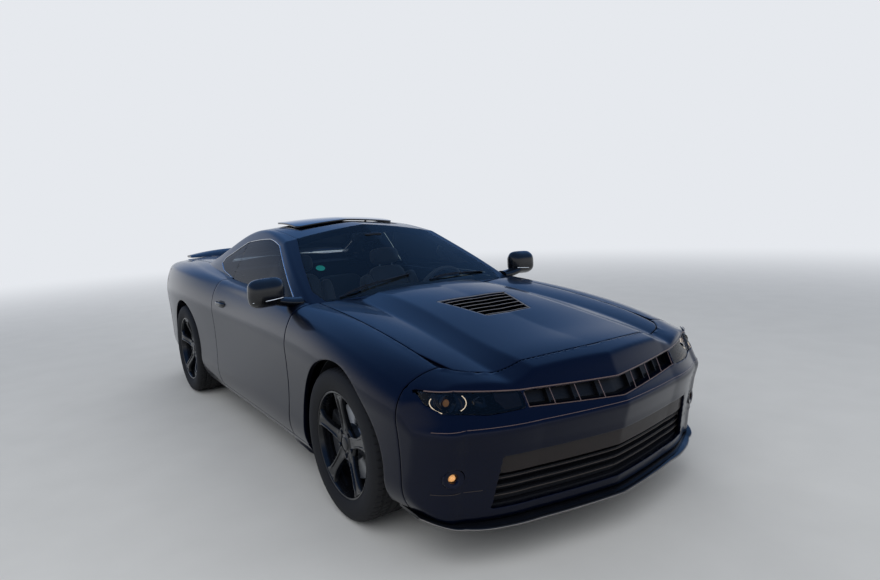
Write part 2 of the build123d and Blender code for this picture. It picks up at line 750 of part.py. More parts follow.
# The mesh lies behind the nose's swept and leaning front, flat on each side of the centre plane
mesh_plane = Plane(origin=(2400 - MESH_DEPTH, 0, 612), x_dir=(-83, 470, 0), z_dir=(470 * 108, 83 * 108, 470 * 55))
with BuildPart() as mesh:
    with BuildSketch(mesh_plane):
        Rectangle(4 * GRILLE_HALF, 4 * GRILLE_HALF)
    extrude(amount=-MESH_THICKNESS)
    add(prism(mesh_sketch.sketch_local, NOSE_PLANE, NOSE_REACH), mode=Mode.INTERSECT)
with BuildPart() as upper_grille:
    add(mesh.part)
    add(mirrored(mesh.part))
    add(layer(nose, 0, 50, prism(rib_sketch.sketch_local, NOSE_PLANE, NOSE_REACH)))
    add(block(NOSE_TOOL_X, NOSE_X, -LAMP_SPLIT_Y, LAMP_SPLIT_Y, 0, 1000), mode=Mode.INTERSECT)
save(upper_grille.part, "upper_grille")

# Each slat of the lower grille: bottom and top height
LOWER_SLATS = [(388, 398), (362, 371), (324, 333), (286, 295), (238, 252)]
LOWER_GRILLE_HALF = 636.0
BAND_THICKNESS = 10.0
BAND_TOP_Z = LOWER_GRILLE_TOP_Z + 12
SLAT_BACK_X = 2290.0
SLAT_BACK_THICKNESS = 10.0


def end_front_x(z):
    """How far forward the end form reaches at a height."""
    for low, high in zip(END_LEVELS, END_LEVELS[1:]):
        if low.z <= z <= high.z:
            return low.front_x + (high.front_x - low.front_x) * (z - low.z) / (high.z - low.z)


def slat(front_x, back_x, z0, z1):
    """A flat bar that follows the nose's outline from above, between two places on the centre plane."""
    with BuildPart() as bar:
        with BuildSketch(Plane.XY.offset(z0)):
            add(end_section(front_x, 0, SKIN))
            add(end_section(back_x, -200, SKIN), mode=Mode.SUBTRACT)
            with Locations((NOSE_TOOL_X + 200, 0)):
                Rectangle(400, 2 * LOWER_GRILLE_HALF, mode=Mode.INTERSECT)
        extrude(amount=z1 - z0)
    return bar.part


with BuildPart() as lower_grille:
    band_block = block(
        NOSE_TOOL_X, NOSE_X, -LOWER_GRILLE_HALF, LOWER_GRILLE_HALF, LOWER_SLATS[0][0], BAND_TOP_Z
    )
    add(layer(nose, 0, BAND_THICKNESS, band_block))
    for z0, z1 in LOWER_SLATS:
        add(slat(end_front_x(z0 - SKIN), SLAT_BACK_X, z0, z1))
    back_z = (LOWER_SLATS[-1][0], LOWER_SLATS[0][1])
    add(slat(SLAT_BACK_X + SKIN + SLAT_BACK_THICKNESS, SLAT_BACK_X, *back_z))
save(lower_grille.part, "lower_grille")

HALO_RADIUS = 56.0
HALO_HALF = 4.0
PROJECTOR_RADIUS = 31.0
LAMP_EYE = (762.0, 694.0)
with BuildSketch() as lamp_rim_sketch:
    add(grown(lamp_outline, FRAME_LAP))
    add(lamp_outline, mode=Mode.SUBTRACT)
with BuildSketch() as lamp_eye_sketch:
    with Locations(LAMP_EYE):
        Circle(HALO_RADIUS + HALO_HALF)
        Circle(HALO_RADIUS - HALO_HALF, mode=Mode.SUBTRACT)
        Circle(PROJECTOR_RADIUS)
    add(grown(lamp_outline, 1), mode=Mode.INTERSECT)
with BuildPart() as headlamp:
    add(layer(nose, 0, 50, prism(lamp_rim_sketch.sketch_local, NOSE_PLANE, NOSE_REACH)))
    add(layer(nose, 40, 50, prism(grown(lamp_outline, FRAME_LAP), NOSE_PLANE, NOSE_REACH)))
    add(layer(nose, 10, 50, prism(lamp_eye_sketch.sketch_local, NOSE_PLANE, NOSE_REACH)))
    add(core, mode=Mode.INTERSECT)
    add(block(NOSE_TOOL_X, NOSE_X, LAMP_SPLIT_Y, SIDE_OUT, 0, 1000), mode=Mode.INTERSECT)
save_pair(headlamp.part, "headlamp")

fog_lamp = layer(nose, 0, 40, prism(grown(fog_outline, FRAME_LAP), NOSE_PLANE, NOSE_REACH))
save_pair(fog_lamp, "fog_lamp")

# Splitter: a plate under the bumper's chin, its ends turned up
SPLITTER_Z = 165.0
SPLITTER_THICKNESS = 22.0
SPLITTER_REACH = 42.0
with BuildPart() as splitter:
    add(prism(end_section(2350 + SPLITTER_REACH, -2000), Plane.XY.offset(SPLITTER_Z), SPLITTER_THICKNESS))
    add(block(2050, NOSE_X, -886, 886, 0, 600), mode=Mode.INTERSECT)
    with BuildPart(mode=Mode.PRIVATE) as winglets:
        for sign in (1, -1):
            add(
                prism(
                    polygon((2050, SPLITTER_Z), (2210, SPLITTER_Z), (2160, SPLITTER_Z + 60), (2050, SPLITTER_Z + 95)),
                    Plane.XZ.offset(-sign * 876),
                    -sign * 10,
                )
            )
    add(winglets.part)
save(splitter.part, "splitter")


# Tail: rear panel with its lamps, and the trunk lid with its spoiler
LAMP_CUT_Z = (770.0, 880.0)
TAIL_LAMP_SPANS = ((270.0, 480.0), (510.0, 740.0))
TIP_Y = 560.0
TIP_Z = 278.0
TIP_REACH = 350.0
TIP_RADIUS = 48.0
with BuildSketch() as tail_lamp_sketch:
    for inner_y, outer_y in TAIL_LAMP_SPANS:
        for sign in (1, -1):
            with Locations((sign * (inner_y + outer_y) / 2, sum(LAMP_CUT_Z) / 2)):
                RectangleRounded(outer_y - inner_y, LAMP_CUT_Z[1] - LAMP_CUT_Z[0], 22)
tail_lamp_outline = tail_lamp_sketch.sketch_local
TAIL_PLANE = Plane.YZ.offset(-NOSE_X - 100)

with BuildPart() as rear_bumper:
    add(panel(block(-NOSE_X - 50, REAR_CUT_X - GAP, -SIDE_OUT, SIDE_OUT, 0, 1300)))
    add(trunk_room, mode=Mode.SUBTRACT)
    add(prism(tail_lamp_outline, TAIL_PLANE, NOSE_REACH), mode=Mode.SUBTRACT)
    with BuildSketch(TAIL_PLANE):
        for sign in (1, -1):
            with Locations((sign * TIP_Y, TIP_Z)):
                Circle(TIP_RADIUS + 14)
    extrude(amount=TIP_REACH, mode=Mode.SUBTRACT)
    add(
        block(-NOSE_X - 50, PLATE_RECESS_X, -PLATE_RECESS_HALF, PLATE_RECESS_HALF, *PLATE_RECESS_Z),
        mode=Mode.SUBTRACT,
    )
    with BuildSketch(TAIL_PLANE):
        with Locations((0, sum(PLATE_RECESS_Z) / 2)):
            with GridLocations(*PLATE_HOLE_SPACING, 2, 2):
                Circle(PLATE_HOLE_RADIUS)
    extrude(amount=TIP_REACH, mode=Mode.SUBTRACT)
save(rear_bumper.part, "rear_bumper")

with BuildPart() as tail_lamps:
    add(layer(tail, 0, 40, prism(grown(tail_lamp_outline, FRAME_LAP), TAIL_PLANE, NOSE_REACH)))
    add(layer(tail, 0, 10, block(-NOSE_X, REAR_CUT_X, -600, 600, 810, 840)))
save(tail_lamps.part, "tail_lamps")

with BuildPart() as trunk_lid:
    add(panel(trunk_prism))
    add(lid_hinges(TRUNK_AXIS, TRUNK_HINGE_Y, 990, pocket=True, edge=-1, notch=TRUNK_NOTCH), mode=Mode.SUBTRACT)
save(trunk_lid.part, "trunk_lid")

SPOILER_HALF = 630.0
with BuildPart() as spoiler:
    with BuildSketch(Plane.XZ):
        with BuildLine():
            Polyline((-2395, 1012), (-2422, 1112), (-2412, 1122), (-2300, 1094), (-2215, 1060), (-2250, 1012), close=True)
        make_face()
    extrude(amount=SPOILER_HALF, both=True)
    add(body, mode=Mode.SUBTRACT)
    add(block(-2500, -2100, -SIDE_OUT, SIDE_OUT, 1045, 1300), mode=Mode.INTERSECT)
save(spoiler.part, "spoiler")

# Cowl, firewall and floor
SHELF_TOP_Z = COWL_SHELF_Z + FIREWALL_THICKNESS
cowl_block = block(790, FIREWALL_X, -HOOD_HALF_WIDTH, HOOD_HALF_WIDTH, 880, 1100)
with BuildPart() as cowl:
    add(layer({0: core, 10: body_solid(SKIN + 10)}, 0, 10, cowl_block))
    with BuildPart(mode=Mode.PRIVATE) as glass_ledge:
        add(panel(cowl_block))
        add(windshield_prism, mode=Mode.INTERSECT)
        add(under_glass, mode=Mode.INTERSECT)
    add(glass_ledge.part)
    with BuildPart(mode=Mode.PRIVATE) as cowl_upright:
        add(block(COWL_X, COWL_X + 16, -640, 640, COWL_SHELF_Z, 1100))
        add(core, mode=Mode.INTERSECT)
    add(cowl_upright.part)
    add(hood_room, mode=Mode.SUBTRACT)
    add(windshield.part, mode=Mode.SUBTRACT)
    add(block(COWL_X, FIREWALL_X, -CABIN_HALF_WIDTH, CABIN_HALF_WIDTH, COWL_SHELF_Z, SHELF_TOP_Z))
    add(
        block(
            FIREWALL_X, FIREWALL_X + FIREWALL_THICKNESS, -CABIN_HALF_WIDTH, CABIN_HALF_WIDTH, FLOOR_Z, SHELF_TOP_Z
        )
    )
    add(body_side.part, mode=Mode.SUBTRACT)
    add(mirrored(body_side.part), mode=Mode.SUBTRACT)
    add(lid_hinges(HOOD_AXIS, HOOD_HINGE_Y, SHELF_TOP_Z - 5, pocket=False, edge=1))
save(cowl.part, "cowl")

TUNNEL_HALF = 120.0
TUNNEL_TOP_Z = 420.0
with BuildPart() as floor_pan:
    add(
        block(BULKHEAD_X, FIREWALL_X, -CABIN_HALF_WIDTH, CABIN_HALF_WIDTH, FLOOR_Z, FLOOR_Z + FLOOR_THICKNESS)
    )
    add(block(BULKHEAD_X, FIREWALL_X, -TUNNEL_HALF, TUNNEL_HALF, FLOOR_Z, TUNNEL_TOP_Z))
    add(
        block(
            BULKHEAD_X,
            FIREWALL_X,
            -TUNNEL_HALF + FLOOR_THICKNESS,
            TUNNEL_HALF - FLOOR_THICKNESS,
            FLOOR_Z,
            TUNNEL_TOP_Z - FLOOR_THICKNESS,
        ),
        mode=Mode.SUBTRACT,
    )
    rear_wells = wheel_wells(ARCH_DEPTH_REAR - LINER_WALL, front=False)
    add(rear_wells, mode=Mode.SUBTRACT)
    add(mirrored(rear_wells), mode=Mode.SUBTRACT)
save(floor_pan.part, "floor_pan")

# Front structure: rails, wheelhouses, radiator frame
RAIL_INNER_Y = 380.0
RAIL_Z = (330.0, 450.0)
RAIL_FRONT_X = 2215.0
RADIATOR_X = (2060.0, 2100.0)
WHEELHOUSE_TOP_Z = 820.0
PLATE = 12.0


def arch_liner(axle_x, inner_y, outer_y):
    """A wheel well's lining: a half ring over the wheel and a wall on its inner side."""
    with BuildPart() as liner:
        with BuildSketch(Plane.XZ.offset(-inner_y)):
            with Locations((axle_x, TYRE_RADIUS)):
                Circle(ARCH_RADIUS + LINER_WALL)
                Circle(ARCH_RADIUS, mode=Mode.SUBTRACT)
            with Locations((axle_x, 0)):
                Rectangle(1200, 2 * RAIL_Z[0], mode=Mode.SUBTRACT)
        extrude(amount=inner_y - outer_y)
        with BuildSketch(Plane.XZ.offset(-inner_y)):
            with Locations((axle_x, TYRE_RADIUS)):
                Circle(ARCH_RADIUS + LINER_WALL)
            with Locations((axle_x, 0)):
                Rectangle(1200, 2 * RAIL_Z[0], mode=Mode.SUBTRACT)
        extrude(amount=-PLATE)
    return liner.part


with BuildPart() as front_structure:
    add(arch_liner(FRONT_AXLE_X, ARCH_DEPTH_FRONT - PLATE, 860))
    add(core, mode=Mode.INTERSECT)
    add(block(FIREWALL_X + FIREWALL_THICKNESS, RAIL_FRONT_X, RAIL_INNER_Y, ARCH_DEPTH_FRONT - PLATE + 1, *RAIL_Z))
    add(prism(end_section(SLAT_BACK_X - SEAT_GAP, -200, SKIN), Plane.XY, 1300), mode=Mode.INTERSECT)
    with BuildPart(mode=Mode.PRIVATE) as other_rail:
        mirror(front_structure.part, about=Plane.XZ)
    add(other_rail.part)
    with BuildPart(mode=Mode.PRIVATE) as radiator_frame:
        add(block(*RADIATOR_X, -520, 520, 260, 640))
    add(radiator_frame.part)
save(front_structure.part, "front_structure")

SHELF_SEAM_HALF = 500.0
# Rear structure: bulkhead, parcel shelf, trunk floor, wheelhouses and the strip ahead of the lid
with BuildPart() as rear_structure:
    add(arch_liner(REAR_AXLE_X, ARCH_DEPTH_REAR - PLATE, CABIN_HALF_WIDTH))
    add(block(-2340, BULKHEAD_X, 470, ARCH_DEPTH_REAR - PLATE + 1, *RAIL_Z))
    add(core, mode=Mode.INTERSECT)
    with BuildPart(mode=Mode.PRIVATE) as other_wheelhouse:
        mirror(rear_structure.part, about=Plane.XZ)
    add(other_wheelhouse.part)
    with BuildPart(mode=Mode.PRIVATE) as trunk_floor:
        add(block(-2500, BULKHEAD_X, -560, 560, TRUNK_FLOOR_Z, TRUNK_FLOOR_Z + PLATE))
        add(core, mode=Mode.INTERSECT)
    add(trunk_floor.part)
    with BuildPart(mode=Mode.PRIVATE) as bulkhead:
        add(block(BULKHEAD_X - 16, BULKHEAD_X, -CABIN_HALF_WIDTH, CABIN_HALF_WIDTH, FLOOR_Z, SHELF_Z - 25))
        add(rear_wells, mode=Mode.SUBTRACT)
        add(mirrored(rear_wells), mode=Mode.SUBTRACT)
    add(bulkhead.part)
    add(block(BULKHEAD_X - 16, BULKHEAD_X, -SHELF_SEAM_HALF, SHELF_SEAM_HALF, SHELF_Z - 26, SHELF_Z + 1))
    add(block(-1455, BULKHEAD_X, -TRUNK_HALF_WIDTH, TRUNK_HALF_WIDTH, SHELF_Z, SHELF_Z + PLATE))
    with BuildPart(mode=Mode.PRIVATE) as deck_strip:
        add(block(-1580, -1440, -TRUNK_HALF_WIDTH, TRUNK_HALF_WIDTH, SHELF_Z, 1100))
        add(body, mode=Mode.INTERSECT)
        with BuildPart(mode=Mode.PRIVATE) as strip_hollow:
            add(block(-1600, -1455, -700, 700, SHELF_Z, 1100))
            add(core, mode=Mode.INTERSECT)
        add(strip_hollow.part, mode=Mode.SUBTRACT)
        add(trunk_room, mode=Mode.SUBTRACT)
        add(rear_window.part, mode=Mode.SUBTRACT)
    add(deck_strip.part)
    for sign in (1, -1):
        low, high = sorted((sign * (TRUNK_HINGE_Y - 12), sign * (TRUNK_HINGE_Y + 12)))
        add(block(TRUNK_AXIS[0] - 10, -1440, low, high, SHELF_Z, SHELF_Z + PLATE))
    add(body_side.part, mode=Mode.SUBTRACT)
    add(mirrored(body_side.part), mode=Mode.SUBTRACT)
    add(lid_hinges(TRUNK_AXIS, TRUNK_HINGE_Y, SHELF_Z, pocket=False, edge=-1))
save(rear_structure.part, "rear_structure")

# Wheels


def tyre_section(width):
    """Half a tyre's cross-section: X is the distance along the axle, Y the radius."""
    h = width / 2
    foot = h - BEAD_INSET
    half = [
        (0, TYRE_RADIUS - TREAD_WALL),
        (h - TREAD_WALL - 18, TYRE_RADIUS - TREAD_WALL - 2),
        (h - TREAD_WALL, 302),
        (foot - 12, BEAD_RADIUS),
        (foot, BEAD_RADIUS),
        (h, 300),
        (h - 10, 345),
        (h - 32, TYRE_RADIUS - 2),
        (0, TYRE_RADIUS),
    ]
    return polygon(*half, *((-x, y) for x, y in half[-2:0:-1]))


def rim_section(width):
    """The rim's cross-section, from the brake disc and hub out to the barrel."""
    h = width / 2
    face = h - BEAD_INSET + 2
    disc_outer = DISC_INNER_FACE + DISC_THICKNESS
    bore = SPINDLE_RADIUS + RUNNING_CLEARANCE
    barrel = BEAD_RADIUS - RIM_WALL
    return polygon(
        (SPINDLE_REACH + 1, 0),
        (SPINDLE_REACH + 1, bore),
        (DISC_INNER_FACE, bore),
        (DISC_INNER_FACE, DISC_RADIUS),
        (disc_outer, DISC_RADIUS),
        (disc_outer, HUB_RADIUS),
        (HUB_DISH - SPOKE_THICKNESS, HUB_RADIUS),
        (face - SPOKE_THICKNESS, barrel),
        (-h + BEAD_INSET - 6, barrel),
        (-h + BEAD_INSET - 6, BEAD_RADIUS),
        (face + 4, BEAD_RADIUS),
        (face + 4, barrel),
        (face, barrel - 2),
        (HUB_DISH + 3, HUB_RADIUS),
        (HUB_DISH - 4, HUB_RADIUS - 8),
        (HUB_DISH - 4, CAP_RADIUS),
        (HUB_DISH, CAP_RADIUS),
        (HUB_DISH, 0),
    )


WINDOW_INNER_RADIUS = 98.0
WINDOW_OUTER_RADIUS = 234.0
WINDOW_INNER_HALF = 20.0
WINDOW_OUTER_HALF = 92.0
window_flank = (WINDOW_OUTER_RADIUS**2 - WINDOW_OUTER_HALF**2) ** 0.5
with BuildSketch() as spoke_window:
    with BuildLine():
        Line((WINDOW_INNER_RADIUS, -WINDOW_INNER_HALF), (window_flank, -WINDOW_OUTER_HALF))
        ThreePointArc(
            (window_flank, -WINDOW_OUTER_HALF), (WINDOW_OUTER_RADIUS, 0), (window_flank, WINDOW_OUTER_HALF)
        )
        Line((window_flank, WINDOW_OUTER_HALF), (WINDOW_INNER_RADIUS, WINDOW_INNER_HALF))
        Line((WINDOW_INNER_RADIUS, WINDOW_INNER_HALF), (WINDOW_INNER_RADIUS, -WINDOW_INNER_HALF))
    make_face()
    fillet(spoke_window.vertices(), radius=14)

AXLE_PLANE = Plane(origin=(0, 0, 0), x_dir=(0, 1, 0), z_dir=(1, 0, 0))
for axle, axle_x, width in (("front", FRONT_AXLE_X, FRONT_TYRE_WIDTH), ("rear", REAR_AXLE_X, REAR_TYRE_WIDTH)):
    with BuildPart() as tyre:
        with BuildSketch(AXLE_PLANE):
            add(tyre_section(width))
        revolve(axis=Axis.Y)
    with BuildPart() as rim:
        with BuildSketch(AXLE_PLANE):
            add(rim_section(width))
        revolve(axis=Axis.Y)
        with BuildSketch(Plane.XZ.offset(-(DISC_INNER_FACE + DISC_THICKNESS + 8))):
            with PolarLocations(0, SPOKES, start_angle=90 + 180 / SPOKES):
                add(spoke_window.sketch_local)
        extrude(amount=-200, mode=Mode.SUBTRACT)
        with BuildSketch(Plane.XZ.offset(-(HUB_DISH - 22))):
            with PolarLocations(LUG_CIRCLE_RADIUS, LUG_HOLES, start_angle=90):
                Circle(LUG_HOLE_RADIUS)
        extrude(amount=-60, mode=Mode.SUBTRACT)
    for side, sign in (("left", 1), ("right", -1)):
        place = Location((axle_x, sign * HALF_TRACK, TYRE_RADIUS))
        for piece, name in ((tyre, "tyre"), (rim, "wheel")):
            half = piece.part if sign > 0 else mirrored(piece.part)
            save(half.moved(place), f"{name}_{axle}_{side}")

# Knuckles, hub carriers and brake calipers
KNUCKLE_FACE = -3.0
KNUCKLE_BACK = -66.0
CALIPER_SPAN = 34.0
CALIPER_INNER_RADIUS = 112.0
CALIPER_OUTER_RADIUS = 212.0
CALIPER_GAP = 6.0


def carrier(trailing):
    """The upright that carries a wheel: block, spindle and the caliper over the disc."""
    with BuildPart() as upright:
        with BuildSketch(Plane.XZ.offset(-KNUCKLE_BACK)):
            Circle(66)
            Rectangle(64, 2 * BALL_JOINT_RISE - 34)
        extrude(amount=KNUCKLE_BACK - KNUCKLE_FACE)
        with BuildSketch(Plane.XZ.offset(-KNUCKLE_FACE)):
            Circle(SPINDLE_RADIUS)
        extrude(amount=KNUCKLE_FACE - SPINDLE_REACH)
        with BuildSketch(Plane.XZ.offset(-KNUCKLE_BACK)):
            Circle(CALIPER_OUTER_RADIUS)
            Circle(CALIPER_INNER_RADIUS, mode=Mode.SUBTRACT)
            add(
                polygon(
                    (0, 0),
                    (trailing * 300 * cos(radians(CALIPER_SPAN)), 300 * sin(radians(CALIPER_SPAN))),
                    (trailing * 300 * cos(radians(CALIPER_SPAN)), -300 * sin(radians(CALIPER_SPAN))),
                ),
                mode=Mode.INTERSECT,
            )
        extrude(amount=KNUCKLE_BACK - HUB_DISH + SPOKE_THICKNESS + 8)
        with BuildSketch(Plane.XZ.offset(-(DISC_INNER_FACE - CALIPER_GAP))):
            Circle(DISC_RADIUS + CALIPER_GAP)
            Circle(SPINDLE_RADIUS, mode=Mode.SUBTRACT)
        extrude(amount=-(DISC_THICKNESS + 2 * CALIPER_GAP), mode=Mode.SUBTRACT)
        with BuildSketch(Plane.XZ.offset(-KNUCKLE_BACK)):
            with Locations((trailing * 90, 0)):
                Rectangle(100, 60)
        extrude(amount=KNUCKLE_BACK - KNUCKLE_FACE)
    return upright.part


front_place = Location((FRONT_AXLE_X, HALF_TRACK, TYRE_RADIUS))
rear_place = Location((REAR_AXLE_X, HALF_TRACK, TYRE_RADIUS))
KINGPIN_Y = HALF_TRACK - KINGPIN_INSET
EYE_RADIUS = 24.0
EYE_HEIGHT = 34.0
with BuildPart() as knuckle:
    add(carrier(-1).moved(front_place))
    for rise in (BALL_JOINT_RISE, -BALL_JOINT_RISE):
        with BuildSketch(Plane.XY.offset(TYRE_RADIUS + rise - EYE_HEIGHT / 2)):
            with Locations((FRONT_AXLE_X, KINGPIN_Y)):
                Circle(EYE_RADIUS)
        extrude(amount=EYE_HEIGHT)
    with BuildSketch(Plane.XY):
        with Locations((FRONT_AXLE_X, KINGPIN_Y)):
            Circle(BALL_PIN_RADIUS + RUNNING_CLEARANCE)
    extrude(amount=TYRE_RADIUS - BALL_JOINT_RISE + EYE_HEIGHT / 2, mode=Mode.SUBTRACT)
    with BuildSketch(Plane.XY.offset(TYRE_RADIUS + BALL_JOINT_RISE - EYE_HEIGHT / 2)):
        with Locations((FRONT_AXLE_X, KINGPIN_Y)):
            Circle(BALL_PIN_RADIUS + RUNNING_CLEARANCE)
    extrude(amount=300, mode=Mode.SUBTRACT)
save_pair(knuckle.part, "knuckle")

# Front suspension: subframe, and an upper and a lower arm at each wheel with the ball pins
ARM_THICKNESS = 18.0
SUBFRAME_Z = (190.0, 250.0)
ARM_ROOT_Y = 380.0
LOWER_ARM_Z = TYRE_RADIUS - BALL_JOINT_RISE - EYE_HEIGHT / 2 - GAP - ARM_THICKNESS
UPPER_ARM_Z = TYRE_RADIUS + BALL_JOINT_RISE + EYE_HEIGHT / 2 + GAP


def arm_outline(root_half, root_y):
    """A wishbone seen from above, from its two inner ends to its ball joint."""
    with BuildSketch() as outline:
        with BuildLine():
            Polyline(
                (FRONT_AXLE_X - root_half, root_y),
                (FRONT_AXLE_X + root_half, root_y),
                (FRONT_AXLE_X + EYE_RADIUS - 4, KINGPIN_Y),
                (FRONT_AXLE_X - EYE_RADIUS + 4, KINGPIN_Y),
                close=True,
            )
        make_face()
        with Locations((FRONT_AXLE_X, KINGPIN_Y)):
            Circle(EYE_RADIUS - 4)
        with BuildLine():
            Polyline(
                (FRONT_AXLE_X - root_half + 46, root_y),
                (FRONT_AXLE_X + root_half - 46, root_y),
                (FRONT_AXLE_X, KINGPIN_Y - 130),
                close=True,
            )
        make_face(mode=Mode.SUBTRACT)
    return outline.sketch_local


with BuildPart() as front_arms:
    add(prism(arm_outline(150, ARM_ROOT_Y), Plane.XY.offset(LOWER_ARM_Z), ARM_THICKNESS))
    add(prism(arm_outline(110, ARCH_DEPTH_FRONT), Plane.XY.offset(UPPER_ARM_Z), ARM_THICKNESS))
    with BuildSketch(Plane.XY.offset(LOWER_ARM_Z)):
        with Locations((FRONT_AXLE_X, KINGPIN_Y)):
            Circle(BALL_PIN_RADIUS)
    extrude(amount=ARM_THICKNESS + GAP + EYE_HEIGHT)
    with BuildSketch(Plane.XY.offset(UPPER_ARM_Z - GAP - EYE_HEIGHT)):
        with Locations((FRONT_AXLE_X, KINGPIN_Y)):
            Circle(BALL_PIN_RADIUS)
    extrude(amount=ARM_THICKNESS + GAP + EYE_HEIGHT)
with BuildPart() as front_suspension:
    add(block(FRONT_AXLE_X - 110, FRONT_AXLE_X + 110, -ARM_ROOT_Y - 30, ARM_ROOT_Y + 30, *SUBFRAME_Z))
    for sign in (1, -1):
        low, high = sorted((sign * (RAIL_INNER_Y + 10), sign * (RAIL_INNER_Y + 70)))
        add(block(FRONT_AXLE_X - 60, FRONT_AXLE_X + 60, low, high, SUBFRAME_Z[0], RAIL_Z[0]))
    add(front_arms.part)
    add(mirrored(front_arms.part))
    add(front_structure.part, mode=Mode.SUBTRACT)
save(front_suspension.part, "front_suspension")

HALF_SHAFT_RADIUS = 18.0
with BuildPart() as rear_half:
    add(carrier(1).moved(rear_place))
    with BuildSketch(Plane.XZ.offset(-100)):
        with Locations((REAR_AXLE_X, TYRE_RADIUS)):
            Circle(HALF_SHAFT_RADIUS)
    extrude(amount=100 - HALF_TRACK - KNUCKLE_BACK)
    for link_z, root_y in ((TYRE_RADIUS - 120, 300), (TYRE_RADIUS + 105, ARCH_DEPTH_REAR)):
        add(block(REAR_AXLE_X - 24, REAR_AXLE_X + 24, root_y, HALF_TRACK + KNUCKLE_BACK + 4, link_z, link_z + 26))
with BuildPart() as rear_suspension:
    add(rear_half.part)
    add(mirrored(rear_half.part))
    add(block(REAR_AXLE_X - 130, REAR_AXLE_X + 130, -330, 330, 240, 300))
    add(block(REAR_AXLE_X - 130, REAR_AXLE_X + 110, -110, 110, 260, TRUNK_FLOOR_Z))
    for sign in (1, -1):
        low, high = sorted((sign * 300, sign * 340))
        add(block(REAR_AXLE_X - 60, REAR_AXLE_X + 60, low, high, 240, TRUNK_FLOOR_Z))
    add(rear_structure.part, mode=Mode.SUBTRACT)
save(rear_suspension.part, "rear_suspension")

# Engine, exhaust
with BuildPart() as engine:
    add(block(1200, 1950, -260, 260, 330, 760))
    add(block(FRONT_AXLE_X - 60, FRONT_AXLE_X + 60, -RAIL_INNER_Y, RAIL_INNER_Y, 340, 400))
save(engine.part, "engine")

PIPE_Y = 60.0
PIPE_RADIUS = 30.0
PIPE_Z = 178.0
MUFFLER = (-2180.0, -1850.0)
TIP_WALL = 3.0
with BuildPart() as exhaust_half:
    with BuildSketch(Plane.XZ.offset(-430)):
        with Locations(((MUFFLER[0] + MUFFLER[1]) / 2, 270)):
            RectangleRounded(MUFFLER[1] - MUFFLER[0], 120, 40)
    extrude(amount=-220)
    with BuildSketch(Plane.YZ.offset(MUFFLER[0] + 4)):
        with Locations((TIP_Y, TIP_Z)):
            Circle(TIP_RADIUS)
            Circle(TIP_RADIUS - TIP_WALL, mode=Mode.SUBTRACT)
    extrude(amount=-230)
    with BuildPart(mode=Mode.PRIVATE) as pipe:
        with BuildLine():
            Polyline(
                (MUFFLER[1] - 4, 520, 240),
                (-1760, 420, PIPE_Z),
                (-1000, PIPE_Y, PIPE_Z),
                (1150, PIPE_Y, PIPE_Z),
                (1250, 150, 345),
            )
        with BuildSketch(Plane(origin=(MUFFLER[1] - 4, 520, 240), z_dir=(94, -100, -62))):
            Circle(PIPE_RADIUS)
        sweep(transition=Transition.ROUND)
    add(pipe.part)
    add(block(-2000, -1960, 480, 520, 300, RAIL_Z[0]))
with BuildPart() as exhaust:
    add(exhaust_half.part)
    add(mirrored(exhaust_half.part))
    add(block(-600, -540, -PIPE_Y, PIPE_Y, PIPE_Z - 12, PIPE_Z + 12))
    add(engine.part, mode=Mode.SUBTRACT)
save(exhaust.part, "exhaust")

# Cabin: dashboard, steering wheel, console and seats
DASH_HALF = 698.0
DASH_END_X = 838.0
DASH_END_Y = 630.0
with BuildPart() as dashboard:
    with BuildSketch(Plane.XZ):
        with BuildLine():
            Polyline(
                (FIREWALL_X, 640),
                (FIREWALL_X, COWL_SHELF_Z),
                (860, COWL_SHELF_Z),
                (845, 930),
                (700, 938),
                (640, 905),
                (668, 690),
                (760, 620),
                close=True,
            )
        make_face()
    extrude(amount=DASH_HALF, both=True)
    add(cowl.part, mode=Mode.SUBTRACT)
    add(body_side.part, mode=Mode.SUBTRACT)
    add(mirrored(body_side.part), mode=Mode.SUBTRACT)
    for sign in (1, -1):
        low, high = sorted((sign * DASH_END_Y, sign * DASH_HALF))
        add(block(DASH_END_X, FIREWALL_X, low, high, COWL_SHELF_Z, 1000), mode=Mode.SUBTRACT)
save(dashboard.part, "dashboard")

DRIVER_Y = 370.0
WHEEL_RING = 182.0
WHEEL_GRIP = 15.0
wheel_plane = Plane(origin=(500, DRIVER_Y, 868), x_dir=(0, 1, 0), z_dir=(-0.93, 0, 0.37))
with BuildPart() as steering_wheel:
    with BuildSketch(Plane(origin=wheel_plane.origin, x_dir=(0, 1, 0), z_dir=wheel_plane.z_dir)):
        Circle(WHEEL_RING + 14)
        Circle(WHEEL_RING - 14, mode=Mode.SUBTRACT)
        Circle(58)
        Rectangle(2 * WHEEL_RING, 34)
        with Locations((0, -WHEEL_RING / 2)):
            Rectangle(34, WHEEL_RING)
        Circle(WHEEL_RING + 14, mode=Mode.INTERSECT)
    extrude(amount=24)
    with BuildSketch(wheel_plane):
        Circle(32)
    extrude(amount=-190)
    add(dashboard.part, mode=Mode.SUBTRACT)
save(steering_wheel.part, "steering_wheel")

with BuildPart() as console:
    add(block(-300, 640, -105, 105, TUNNEL_TOP_Z, 560))
    add(dashboard.part, mode=Mode.SUBTRACT)
save(console.part, "console")

SEAT_HALF = 245.0
HEADREST_HALF = 130.0
FLOOR_TOP_Z = FLOOR_Z + FLOOR_THICKNESS


def cushion(points, turn, y0, y1):
    """A padded block: a rounded side profile carried across the car between two widths."""
    with BuildPart() as pad:
        with BuildSketch(Plane.XZ.offset(-y0)) as profile:
            add(polygon(*points))
            fillet(profile.vertices(), radius=turn)
        extrude(amount=y0 - y1)
    return pad.part


